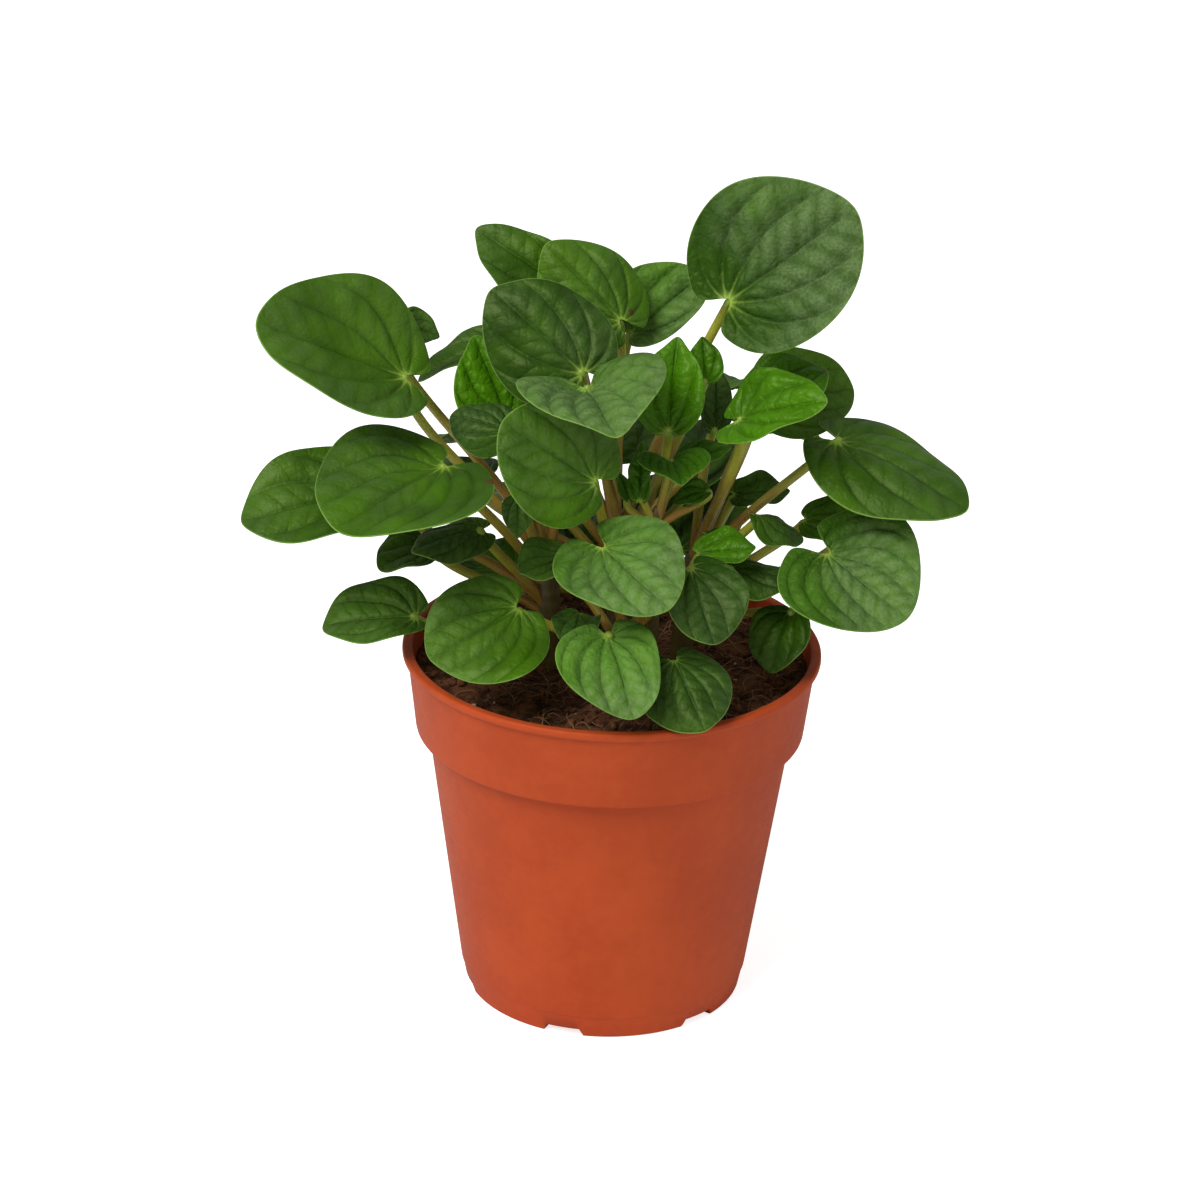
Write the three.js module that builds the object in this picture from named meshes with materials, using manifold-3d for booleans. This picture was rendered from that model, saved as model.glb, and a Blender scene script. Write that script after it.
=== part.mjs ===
// A peperomia in a thin-walled grow pot, in millimetres with +Z up.
// The origin is on the pot's axis, in the plane that its feet stand on; the plant is seen best from -Y.
import * as THREE from 'three';
import { mergeVertices } from 'three/addons/utils/BufferGeometryUtils.js';
import Module from 'manifold-3d';

const wasm = await Module();
wasm.setup();

// ---------------------------------------------------------------- driving dimensions

const GAP = 0.3;                    // clearance between pieces that touch
const WELD = 1e-4;                  // corners closer than this are one

const POT = {
  height: 92.7,
  wall: 1.3,
  footRadius: 35,
  footHeight: 6,                    // faint line round the pot where the foot starts
  wallFootRadius: 36.2,
  wallTopRadius: 45.8,
  ledgeHeight: 71,                  // where the collar steps out
  collarFootRadius: 48.8,
  collarTopRadius: 51.2,
  lipRadius: 52.5,
  lipHeight: 2.2,
  floorHeight: 4.6,                 // underside of the raised floor
  floorThickness: 1.6,
  footRing: 3.2,                    // width of the ring that the pot stands on
  edge: 0.4,                        // how far its sharp edges are taken off
  segments: 48,
};

const NOTCH = { count: 6, first: -106, width: 10.5, height: 2.2, slant: 1, depth: 8, outside: 1 };
const DRAIN = { count: 6, radius: 3.6, circle: 24, sides: 10 };

const SOIL = {
  level: 86.5,
  bump: 0.8,                        // half the height of its rises and hollows
  rolls: { x: 7, y: 8.5, phase: 1.2 },
  ripples: { length: 5, slant: 1.3, phase: 0.5, share: 0.6 },
  rings: 5,
  segments: 30,
  holeDepth: 18,                    // the stems stand in plain holes, a little wider than they are
  holeGap: 0.8,
  holeSides: 8,
};

const BLADE = {
  thickness: 1.2,
  sectors: 18,
  smallSectors: 12,                 // for a blade shorter than smallLength
  smallLength: 19,
  innerRing: 0.56,                  // where the ring of points inside the edge lies, as a share of the way
  crowding: 0.4,                    // edge points stand closer round the notch at the base
  tipSpread: 0.3,                   // half the angle that the point takes up, in radians, and the notch
  notchSpread: 0.14,
  scallops: 5,                      // shallow lobes of the outline, and their depth as a share of its radius
  scallopDepth: 0.012,
  waves: 4,                         // waves of the edge, up and down
  midrib: 2,                        // half the width of the rounded valley along the midrib
};

// sink: how far a petiole's end lies along the midrib. The last four are shares of its span: how far it
// runs straight, how much it rises there, and how far behind and below its blade it bows.
const PETIOLE = {
  radius: 1.25, sides: 5, steps: 4, sink: 0.8, bow: 0.3, rise: 0.1, behind: 0.14, below: 0.3,
};

// lowest and spread: where along a stem its petioles leave it; root: how deep it stands in the soil.
const STEM = { radius: 3.0, sides: 6, steps: 4, root: 14, collar: 4, lowest: 0.55, spread: 0.4 };

// How a blade is bent. fold: degrees that each half rises from the midrib; cup: how far the edge rises;
// droop: how far the tip falls; wave: height of the waves along the edge; sinus and tip: depth of the notch
// at the base and length of the point, as shares of the blade's length; ovate: how much broader its base
// half is.
const FORMS = {
  round:   { fold: 5, cup: 2.5, droop: 2, wave: 0.9, sinus: 0.18, tip: 0.02, ovate: 0.08 },
  plain:   { fold: 5, cup: 2, droop: 2, wave: 0.9, sinus: 0.10, tip: 0.05, ovate: 0.0 },
  heart:   { fold: 8, cup: 1.5, droop: 4, wave: 0.9, sinus: 0.25, tip: 0.05, ovate: 0.14 },
  lobed:   { fold: 6, cup: 1.5, droop: 3, wave: 0.9, sinus: 0.32, tip: 0.03, ovate: 0.12 },
  folded:  { fold: 22, cup: -1, droop: 2, wave: 0.6, sinus: 0.26, tip: 0.08, ovate: 0.14 },
  domed:   { fold: -5, cup: -3, droop: 5, wave: 0.8, sinus: 0.22, tip: 0.04, ovate: 0.12 },
  young:   { fold: 12, cup: 1, droop: 1.5, wave: 0.5, sinus: 0.08, tip: 0.10, ovate: 0.12 },
};

const COLOURS = {
  pot: 0xb5502f, soil: 0x4a3020, stem: 0xa0563a, shoot: 0x7f9a3c,
  mature: 0x2f5a26, young: 0x5d8f34, frosty: 0x5d7a55,
};
const ROUGHNESS = { pot: 0.6, soil: 0.95, stem: 0.5, shoot: 0.4, blade: 0.35 };

// Short upright stems: where each one leaves the soil and where its crown of petioles ends.
const STEMS = {
  stem_left:   { foot: [-15, 3], crown: [-17, 4, 116] },
  stem_right:  { foot: [17, 4], crown: [20, 5, 116] },
  stem_front:  { foot: [2, -17], crown: [3, -18, 106] },
  stem_back:   { foot: [0, 19], crown: [0, 21, 118] },
  stem_centre: { foot: [1, 1], crown: [2, 1, 128] },
};

// Each blade: the point where its petiole joins it, the heading of its midrib (0 to the right, -90 to the
// front), the pitch of the midrib (up is positive), the roll about it (positive lowers the left half), its
// length, its width, and the share by which its left half is the broader one. Set and tuned by hand, in
// whole millimetres and degrees, until the outlines stood where the photograph shows them.
const LEAVES = [
  // top of the plant
  ['leaf_top_right', 'stem_centre', [26, 8, 182], 0, 40, -66, 39, 43, 0.06, 'round', 'frosty'],
  ['leaf_top_left', 'stem_back', [-14, 36, 173], 165, 34, 40, 28, 21, 0.2, 'heart', 'mature'],
  ['leaf_top_centre', 'stem_back', [0, 24, 170], 165, 45, 50, 27, 26, 0, 'domed', 'mature'],
  ['leaf_top_centre_right', 'stem_back', [2, 34, 163], 15, 38, -50, 25, 20, 0.2, 'plain', 'frosty'],
  ['leaf_upper_left', 'stem_left', [-52, 0, 163], -166, 26, 33, 41, 41, -0.08, 'round', 'mature'],
  ['leaf_upper_centre', 'stem_left', [-9, 6, 163], 165, 40, 55, 31, 31, 0, 'domed', 'mature'],
  ['leaf_bright_left', 'stem_left', [-27, 14, 146], 140, 60, 30, 24, 24, 0, 'young', 'young'],
  ['leaf_edge_left', 'stem_left', [-31, 34, 161], -165, -21, 0, 23, 16, 0, 'folded', 'mature'],
  ['leaf_tip_left', 'stem_left', [-55, 18, 170], -5, -10, -40, 11, 11, 0, 'young', 'mature'],
  // the heart-shaped leaves at the centre
  ['leaf_centre_heart', 'stem_centre', [-8, -10, 166], -75, 0, -8, 29, 37, 0, 'folded', 'frosty'],
  ['leaf_centre_left', 'stem_centre', [-5, -20, 145], -175, 35, 60, 28, 32, 0.1, 'round', 'mature'],
  ['leaf_young_tall', 'stem_centre', [12, -6, 153], 80, 65, 0, 24, 18, 0, 'young', 'young'],
  ['leaf_young_back', 'stem_centre', [21, 4, 162], 100, 70, 0, 12, 10, 0, 'young', 'young'],
  ['leaf_dark_centre', 'stem_right', [24, 17, 144], 80, 75, -20, 17, 9, 0, 'young', 'mature'],
  // the right side
  ['leaf_right_bright', 'stem_right', [29, -9, 158], -30, 29, -33, 25, 23, 0, 'heart', 'young'],
  ['leaf_right_upper', 'stem_right', [33, 8, 154], 8, 30, -20, 21, 23, 0, 'round', 'young'],
  ['leaf_right_dark', 'stem_right', [36, 24, 149], 8, 12, -40, 24, 27, 0, 'round', 'mature'],
  ['leaf_far_right', 'stem_right', [54, 3, 149], -23, -13, -11, 37, 36, 0, 'domed', 'mature'],
  ['leaf_right_front', 'stem_right', [52, -14, 125], -34, -21, -24, 26, 40, -0.03, 'lobed', 'frosty'],
  ['leaf_right_behind', 'stem_right', [47, 14, 122], -10, 0, -30, 15, 16, 0, 'plain', 'mature'],
  ['leaf_right_glossy', 'stem_right', [29, 14, 128], 5, 10, -25, 15, 12, 0, 'plain', 'mature'],
  ['leaf_right_pale', 'stem_right', [35, -3, 130], 0, -10, -8, 13, 13, 0, 'domed', 'mature'],
  ['leaf_right_small', 'stem_front', [20, -17, 125], -4, 16, -25, 15, 13, 0, 'plain', 'young'],
  ['leaf_right_ridged', 'stem_right', [28, -12, 120], -12, 6, -10, 17, 17, 0, 'domed', 'mature'],
  ['leaf_right_inner', 'stem_right', [22, -7, 126], 12, 24, -15, 8, 9, 0, 'domed', 'mature'],
  ['leaf_right_low', 'stem_right', [44, -12, 109], -118, -43, 0, 17, 17, 0, 'plain', 'mature'],
  // the left side
  ['leaf_left_middle', 'stem_left', [-42, -14, 146], -139, -11, 6, 35, 49, 0.06, 'round', 'mature'],
  ['leaf_far_left', 'stem_left', [-62, -2, 134], -163, -9, 25, 32, 31, 0, 'round', 'mature'],
  ['leaf_left_lower', 'stem_left', [-49, -8, 103], 180, -5, 22, 24, 23, 0, 'round', 'mature'],
  ['leaf_left_front', 'stem_front', [-23, -25, 113], -150, -18, 30, 26, 33, 0.18, 'round', 'mature'],
  ['leaf_left_under', 'stem_left', [-45, 5, 116], -152, -5, 10, 16, 17, 0, 'plain', 'mature'],
  ['leaf_left_dark', 'stem_left', [-33, -4, 125], -160, 0, 20, 18, 15, 0, 'domed', 'mature'],
  ['leaf_left_inner', 'stem_left', [-27, -1, 150], 165, 15, 40, 16, 16, 0, 'domed', 'mature'],
  ['leaf_left_hanging', 'stem_left', [-24, -6, 135], -90, -50, 0, 11, 9, 0, 'young', 'mature'],
  // the front
  ['leaf_front_right', 'stem_front', [18, -28, 126], -66, -36, 0, 21, 23, 0.05, 'round', 'mature'],
  ['leaf_front_centre', 'stem_front', [-3, -28, 131], -50, -12, -20, 26, 32, -0.05, 'lobed', 'frosty'],
  ['leaf_front_low', 'stem_front', [-1, -40, 114], -70, -32, -8, 24, 26, -0.22, 'round', 'frosty'],
  ['leaf_front_rim', 'stem_front', [15, -38, 106], -65, -24, -14, 20, 24, 0, 'domed', 'mature'],
  ['leaf_front_small', 'stem_front', [-12, -10, 120], -150, 0, 15, 13, 17, 0, 'round', 'mature'],
  ['leaf_front_dark', 'stem_front', [-8, -16, 108], -100, -5, 0, 13, 13, 0, 'plain', 'mature'],
  // the back, most of it out of the photograph
  ['leaf_back_high_left', 'stem_back', [-18, 40, 151], 110, -8, 0, 20, 24, 0, 'plain', 'mature'],
  ['leaf_back_high_right', 'stem_back', [17, 36, 149], 50, -8, 0, 28, 30, 0, 'heart', 'frosty'],
  ['leaf_back_top', 'stem_back', [-2, 34, 128], 92, 30, 0, 20, 26, 0, 'plain', 'frosty'],
  ['leaf_back_upper_left', 'stem_back', [-26, 30, 137], 128, -18, 0, 30, 27, 0, 'plain', 'mature'],
  ['leaf_back_right', 'stem_back', [30, 34, 140], 40, -18, 0, 28, 30, 0, 'round', 'mature'],
  ['leaf_back_left', 'stem_back', [-36, 28, 124], 150, -18, 0, 32, 32, 0, 'round', 'mature'],
  ['leaf_back_mid_right', 'stem_back', [18, 30, 125], 80, 18, 0, 28, 24, 0, 'plain', 'mature'],
  ['leaf_back_mid_left', 'stem_back', [-17, 30, 122], 116, -18, 0, 29, 30, 0, 'heart', 'mature'],
  ['leaf_back_far_right', 'stem_right', [61, 38, 114], 10, 6, 12, 29, 26, 0, 'plain', 'mature'],
  ['leaf_back_far_left', 'stem_back', [-28, 20, 103], 150, 10, 0, 16, 24, 0, 'round', 'mature'],
  ['leaf_back_low_right', 'stem_back', [16, 26, 107], 82, 38, 0, 27, 34, 0, 'plain', 'mature'],
  ['leaf_back_low_left', 'stem_back', [-10, 26, 105], 105, 20, 0, 22, 24, 0, 'plain', 'mature'],
].map(([name, stem, base, heading, pitch, roll, length, width, skew, form, finish]) => (
  { name, stem, base, heading, pitch, roll, length, width, skew, form, finish }));

// The young shoot in the middle, with its small leaves: the same terms as above, and no half broader.
const SHOOT = { foot: [10, -8], crown: [10, -8, 134], radius: 1.6, petioleRadius: 1, leaving: 0.9 };
const SHOOT_LEAVES = [
  { base: [6, -10, 136], heading: 100, pitch: 76, roll: 35, length: 15, width: 7, form: 'young' },
  { base: [13, -9, 147], heading: -75, pitch: -2, roll: 0, length: 11, width: 19, form: 'folded' },
  { base: [15, 0, 143], heading: 5, pitch: 18, roll: -35, length: 14, width: 8, form: 'young' },
  { base: [23, -4, 137], heading: -172, pitch: -12, roll: 30, length: 10, width: 8, form: 'young' },
  { base: [3, -6, 134], heading: 115, pitch: 50, roll: -20, length: 9, width: 7, form: 'young' },
];

// ---------------------------------------------------------------- solids and meshes

const radians = THREE.MathUtils.degToRad;

function toSolid(geometry) {
  const bare = geometry.clone();
  bare.deleteAttribute('normal');
  bare.deleteAttribute('uv');
  const merged = mergeVertices(bare, WELD);
  const index = merged.index.array;
  const kept = [];
  for (let i = 0; i < index.length; i += 3) {
    const [a, b, c] = [index[i], index[i + 1], index[i + 2]];
    if (a !== b && b !== c && c !== a) kept.push(a, b, c);
  }
  const mesh = new wasm.Mesh({
    numProp: 3,
    vertProperties: Float32Array.from(merged.attributes.position.array),
    triVerts: Uint32Array.from(kept),
  });
  return new wasm.Manifold(mesh);
}

function toGeometry(solid) {
  const { vertProperties, triVerts } = solid.getMesh();
  const geometry = new THREE.BufferGeometry();
  geometry.setAttribute('position', new THREE.BufferAttribute(Float32Array.from(vertProperties), 3));
  geometry.setIndex(new THREE.BufferAttribute(Uint32Array.from(triVerts), 1));
  geometry.computeVertexNormals();
  return geometry;
}

function cutAll(solid, geometries) {
  return geometries.reduce((left, geometry) => left.subtract(toSolid(geometry)), solid);
}

function joinAll(geometries) {
  return geometries.map(toSolid).reduce((joined, solid) => joined.add(solid));
}

function namedMesh(name, geometry, colour, roughness) {
  const mesh = new THREE.Mesh(geometry, new THREE.MeshStandardMaterial({ color: colour, roughness }));
  mesh.name = name;
  return mesh;
}

// A closed ring or cup about the Z axis from [radius, height] pairs.
function turned(profile, segments) {
  const points = profile.map(([radius, height]) => new THREE.Vector2(radius, height));
  return new THREE.LatheGeometry(points, segments).rotateX(Math.PI / 2);
}

// A rod of equal-sided section along a curve.
function rod(curve, radius, sides, steps) {
  const section = new THREE.Shape();
  for (let i = 0; i < sides; i++) {
    const turn = (2 * Math.PI * i) / sides;
    section[i ? 'lineTo' : 'moveTo'](radius * Math.cos(turn), radius * Math.sin(turn));
  }
  section.closePath();
  return new THREE.ExtrudeGeometry(section, { steps, extrudePath: curve, bevelEnabled: false });
}

// ---------------------------------------------------------------- pot

const INSIDE = {
  floor: POT.floorHeight + POT.floorThickness,
  ledge: POT.ledgeHeight + POT.wall,
  lowRadius: POT.wallFootRadius - POT.wall,
  highRadius: POT.wallTopRadius - POT.wall,
  collarRadius: POT.collarFootRadius - POT.wall,
  rimRadius: POT.collarTopRadius - POT.wall,
};

function makePot() {
  const ringRadius = POT.footRadius - POT.footRing;
  const lipFoot = POT.height - POT.lipHeight;
  const { edge } = POT;
  const profile = [
    [0, POT.floorHeight],
    [ringRadius - edge, POT.floorHeight],
    [ringRadius, 0],
    [POT.footRadius, 0],
    [POT.wallFootRadius, POT.footHeight],
    [POT.wallTopRadius, POT.ledgeHeight],
    [POT.collarFootRadius - edge, POT.ledgeHeight],
    [POT.collarFootRadius, POT.ledgeHeight + edge],
    [POT.collarTopRadius, lipFoot],
    [POT.lipRadius - edge, lipFoot + edge],
    [POT.lipRadius, lipFoot + 2 * edge],
    [POT.lipRadius, POT.height - 2 * edge],
    [POT.lipRadius - 2 * edge, POT.height],
    [INSIDE.rimRadius + edge, POT.height],
    [INSIDE.rimRadius, POT.height - edge],
    [INSIDE.collarRadius, INSIDE.ledge],
    [INSIDE.highRadius, INSIDE.ledge],
    [INSIDE.lowRadius, INSIDE.floor],
    [0, INSIDE.floor],
  ];
  return cutAll(toSolid(turned(profile, POT.segments)), [...notches(), ...drains()]);
}

// The gaps between the six feet, with slanted ends.
function notches() {
  const half = NOTCH.width / 2;
  const outline = new THREE.Shape([
    new THREE.Vector2(-half - NOTCH.slant, -NOTCH.height),
    new THREE.Vector2(half + NOTCH.slant, -NOTCH.height),
    new THREE.Vector2(half - NOTCH.slant, NOTCH.height),
    new THREE.Vector2(NOTCH.slant - half, NOTCH.height),
  ]);
  return Array.from({ length: NOTCH.count }, (_, i) => (
    new THREE.ExtrudeGeometry(outline, { depth: NOTCH.depth, bevelEnabled: false })
      .rotateX(Math.PI / 2)
      .translate(0, POT.footRadius + NOTCH.outside, 0)
      .rotateZ(radians(NOTCH.first - 90 + (360 / NOTCH.count) * i))
  ));
}

function drains() {
  const height = 4 * POT.floorThickness;
  return Array.from({ length: DRAIN.count }, (_, i) => (
    new THREE.CylinderGeometry(DRAIN.radius, DRAIN.radius, height, DRAIN.sides)
      .rotateX(Math.PI / 2)
      .translate(DRAIN.circle, 0, POT.floorHeight)
      .rotateZ((2 * Math.PI * i) / DRAIN.count)
  ));
}

// ---------------------------------------------------------------- soil

// Height of the soil's uneven top at a point.
function soilTop(x, y) {
  const { level, bump, rolls, ripples } = SOIL;
  const long = Math.sin(x / rolls.x + rolls.phase) * Math.cos(y / rolls.y);
  const short = Math.sin((x - ripples.slant * y) / ripples.length + ripples.phase);
  return level + bump * (long + ripples.share * short);
}

function makeSoil() {
  const inside = (height) => {
    const rise = (height - INSIDE.ledge) / (POT.height - INSIDE.ledge);
    return INSIDE.collarRadius + rise * (INSIDE.rimRadius - INSIDE.collarRadius) - 2 * GAP;
  };
  const edge = inside(SOIL.level - SOIL.bump);
  const profile = [
    [0, INSIDE.floor + GAP],
    [INSIDE.lowRadius - 2 * GAP, INSIDE.floor + GAP],
    [INSIDE.highRadius - 2 * GAP, INSIDE.ledge + GAP],
    [inside(INSIDE.ledge), INSIDE.ledge + GAP],
  ];
  for (let ring = SOIL.rings; ring >= 0; ring--) profile.push([(edge * ring) / SOIL.rings, SOIL.level]);
  const geometry = turned(profile, SOIL.segments);
  const position = geometry.attributes.position;
  for (let i = 0; i < position.count; i++) {
    const onTop = Math.abs(position.getZ(i) - SOIL.level) < GAP;
    if (onTop) position.setZ(i, soilTop(position.getX(i), position.getY(i)));
  }
  return cutAll(toSolid(geometry), [...Object.values(STEMS), SHOOT].map(stemHole));
}

function stemHole({ foot: [x, y], radius = STEM.radius }) {
  const height = 2 * SOIL.holeDepth;
  return new THREE.CylinderGeometry(radius + SOIL.holeGap, radius + SOIL.holeGap, height, SOIL.holeSides)
    .rotateX(Math.PI / 2)
    .translate(x, y, SOIL.level);
}

// ---------------------------------------------------------------- blades

// A point on a blade's edge, for a turn about the blade's middle: 0 is the tip and pi the base.
function edgePoint({ length, width, skew = 0, form }, turn, grow = 0) {
  const { sinus, tip, ovate, wave } = FORMS[form];
  const bump = (fromCentre, spread) => Math.exp(-((fromCentre / spread) ** 2));
  const reach = (length * (1 - tip + sinus)) / 2;
  const fromTip = Math.abs(Math.atan2(Math.sin(turn), Math.cos(turn)));
  const point = tip * length * bump(fromTip, BLADE.tipSpread);
  const notch = sinus * length * bump(Math.PI - fromTip, BLADE.notchSpread);
  const ripple = 1 + BLADE.scallopDepth * wave * Math.sin(BLADE.scallops * turn + length);
  const x = reach * Math.cos(turn) * ripple + point + notch;
  const broad = (1 - ovate * Math.cos(turn)) * (1 + skew * Math.sin(turn));
  const y = (width / 2) * Math.sin(turn) * ripple * broad;
  const far = Math.hypot(x, y);
  return [x * (1 + grow / far), y * (1 + grow / far)];
}

// Distance from the base of the midrib to the middle of the blade.
function middleOf({ length, form }) {
  const { sinus, tip } = FORMS[form];
  return (length * (1 - tip - sinus)) / 2;
}

// Height of the bent blade over its flat outline.
function bend({ length, width, form }, x, y) {
  const { fold, cup, droop, wave } = FORMS[form];
  const along = x / length;
  const across = (2 * y) / width;
  const out = Math.hypot(along * 2 - 1, across);
  const folded = Math.tan(radians(fold)) * (Math.hypot(y, BLADE.midrib) - BLADE.midrib);
  const waveTurn = BLADE.waves * Math.atan2(y, x - length / 2) + length;
  const waves = wave * Math.sin(waveTurn) * Math.min(out, 1) ** 2;
  return folded + cup * across * across - droop * Math.max(along, 0) ** 2 + waves;
}

function bladeGeometry(leaf, grow = 0) {
  const sectors = leaf.length < BLADE.smallLength ? BLADE.smallSectors : BLADE.sectors;
  const middle = middleOf(leaf);
  const half = BLADE.thickness / 2 + grow;
  const vertices = [];
  const addPair = (x, y) => {
    const z = bend(leaf, x, y);
    vertices.push(x, y, z + half, x, y, z - half);
  };
  addPair(middle, 0);
  for (const share of [BLADE.innerRing, 1]) {
    for (let i = 0; i < sectors; i++) {
      const turn = (2 * Math.PI * i) / sectors;
      const [x, y] = edgePoint(leaf, turn + BLADE.crowding * Math.sin(turn), grow);
      addPair(middle + x * share, y * share);
    }
  }
  const index = [];
  const both = (a, b, c) => index.push(2 * a, 2 * b, 2 * c, 2 * a + 1, 2 * c + 1, 2 * b + 1);
  for (let i = 0; i < sectors; i++) {
    const j = (i + 1) % sectors;
    const [inner, nextInner] = [1 + i, 1 + j];
    const [outer, nextOuter] = [1 + sectors + i, 1 + sectors + j];
    both(0, inner, nextInner);
    both(inner, outer, nextOuter);
    both(inner, nextOuter, nextInner);
    index.push(2 * outer, 2 * outer + 1, 2 * nextOuter + 1, 2 * outer, 2 * nextOuter + 1, 2 * nextOuter);
  }
  const geometry = new THREE.BufferGeometry();
  geometry.setAttribute('position', new THREE.Float32BufferAttribute(vertices, 3));
  geometry.setIndex(index);
  geometry.computeVertexNormals();
  return geometry;
}

// The blade's own axes: x along the midrib, y to its left, z out of its upper face.
function bladeFrame({ base, heading, pitch, roll }) {
  const frame = new THREE.Object3D();
  frame.rotation.set(radians(-roll), radians(-pitch), radians(heading), 'ZYX');
  frame.position.set(...base);
  frame.updateMatrix();
  return frame;
}

function placedBlade(leaf, grow = 0) {
  return bladeGeometry(leaf, grow).applyMatrix4(bladeFrame(leaf).matrix);
}

// ---------------------------------------------------------------- stems and petioles

function stemCurve({ foot: [x, y], crown }) {
  const bottom = new THREE.Vector3(x, y, SOIL.level - STEM.root);
  const collar = new THREE.Vector3(x, y, SOIL.level + STEM.collar);
  const top = new THREE.Vector3(...crown);
  return new THREE.CubicBezierCurve3(bottom, collar, collar.clone().lerp(top, 0.5), top);
}

// A petiole's path from its stem to the base of its blade.
function petioleCurve(leaf, stem, from) {
  const { matrix } = bladeFrame(leaf);
  const end = new THREE.Vector3(PETIOLE.sink, 0, 0).applyMatrix4(matrix);
  const start = stem.getPointAt(from);
  const span = start.distanceTo(end);
  const { behind, below, bow, rise } = PETIOLE;
  const approach = new THREE.Vector3(-behind * span, 0, -below * span).applyMatrix4(matrix);
  const leave = start.clone().lerp(end, bow).add(new THREE.Vector3(0, 0, rise * span));
  return new THREE.CubicBezierCurve3(start, leave, approach, end);
}

// The share of the stem's length at which each of its petioles leaves: the highest blades from the top.
function leavingPoints(leaves) {
  const order = [...leaves].sort((a, b) => a.base[2] - b.base[2]);
  return leaves.map((leaf) => STEM.lowest + (STEM.spread * order.indexOf(leaf)) / (leaves.length - 1));
}

function largestPiece(solid) {
  return solid.decompose().reduce((best, piece) => (piece.volume() > best.volume() ? piece : best));
}

function makeStem(name, stem) {
  const curve = stemCurve(stem);
  const leaves = LEAVES.filter((leaf) => leaf.stem === name);
  const from = leavingPoints(leaves);
  const rods = leaves.map((leaf, i) => (
    rod(petioleCurve(leaf, curve, from[i]), PETIOLE.radius, PETIOLE.sides, PETIOLE.steps)));
  const joined = joinAll([rod(curve, STEM.radius, STEM.sides, STEM.steps), ...rods]);
  return largestPiece(cutAll(joined, leaves.map((leaf) => placedBlade(leaf, GAP))));
}

function makeShoot() {
  const curve = stemCurve(SHOOT);
  const rods = SHOOT_LEAVES.map((leaf) => (
    rod(petioleCurve(leaf, curve, SHOOT.leaving), SHOOT.petioleRadius, PETIOLE.sides, PETIOLE.steps)));
  const blades = SHOOT_LEAVES.map((leaf) => placedBlade(leaf));
  return joinAll([rod(curve, SHOOT.radius, STEM.sides, STEM.steps), ...rods, ...blades]);
}

// ---------------------------------------------------------------- the whole plant

const plant = new THREE.Group();
plant.add(namedMesh('pot', toGeometry(makePot()), COLOURS.pot, ROUGHNESS.pot));
plant.add(namedMesh('soil', toGeometry(makeSoil()), COLOURS.soil, ROUGHNESS.soil));
for (const [name, stem] of Object.entries(STEMS)) {
  plant.add(namedMesh(name, toGeometry(makeStem(name, stem)), COLOURS.stem, ROUGHNESS.stem));
}
plant.add(namedMesh('young_shoot', toGeometry(makeShoot()), COLOURS.shoot, ROUGHNESS.shoot));
for (const leaf of LEAVES) {
  const blade = namedMesh(leaf.name, bladeGeometry(leaf), COLOURS[leaf.finish], ROUGHNESS.blade);
  const { position, quaternion } = bladeFrame(leaf);
  blade.position.copy(position);
  blade.quaternion.copy(quaternion);
  plant.add(blade);
}

export default plant;
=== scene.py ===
"""A peperomia in a thin-walled grow pot: its looks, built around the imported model."""

import math

import bpy
import numpy as np
from mathutils import Matrix, Vector, noise


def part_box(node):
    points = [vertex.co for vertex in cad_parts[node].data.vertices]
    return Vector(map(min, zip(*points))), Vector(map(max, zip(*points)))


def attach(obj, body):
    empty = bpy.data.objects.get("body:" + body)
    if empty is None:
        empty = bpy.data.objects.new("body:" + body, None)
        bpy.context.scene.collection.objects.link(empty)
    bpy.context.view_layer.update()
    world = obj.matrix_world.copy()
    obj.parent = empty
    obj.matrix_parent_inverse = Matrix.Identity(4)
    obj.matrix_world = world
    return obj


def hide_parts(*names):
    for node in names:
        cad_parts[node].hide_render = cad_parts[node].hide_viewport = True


bl_info = {
    "name": "Potted peperomia",
    "version": (1, 0, 0),
    "blender": (4, 5, 0),
    "location": "3D View > Sidebar > Plant",
    "description": "Builds a potted peperomia with its soil, petioles and leaf blades",
    "category": "Object",
}

MM = 0.001                       # the tables below are in millimetres, and Blender works in metres
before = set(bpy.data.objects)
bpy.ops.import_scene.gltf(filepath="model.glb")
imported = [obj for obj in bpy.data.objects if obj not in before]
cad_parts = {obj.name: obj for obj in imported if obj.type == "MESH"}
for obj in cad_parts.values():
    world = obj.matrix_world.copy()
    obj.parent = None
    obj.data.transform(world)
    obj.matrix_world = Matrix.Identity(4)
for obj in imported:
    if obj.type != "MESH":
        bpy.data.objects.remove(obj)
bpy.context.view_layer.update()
POT_LOW, POT_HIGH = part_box("pot")


def paint(red, green, blue):
    """A colour picked as 0 to 255 on a screen, as the light that it stands for."""
    def light(level):
        share = level / 255
        return share / 12.92 if share <= 0.04045 else ((share + 0.055) / 1.055) ** 2.4
    return light(red), light(green), light(blue), 1.0


# ---------------------------------------------------------------- the plant, in millimetres

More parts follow.
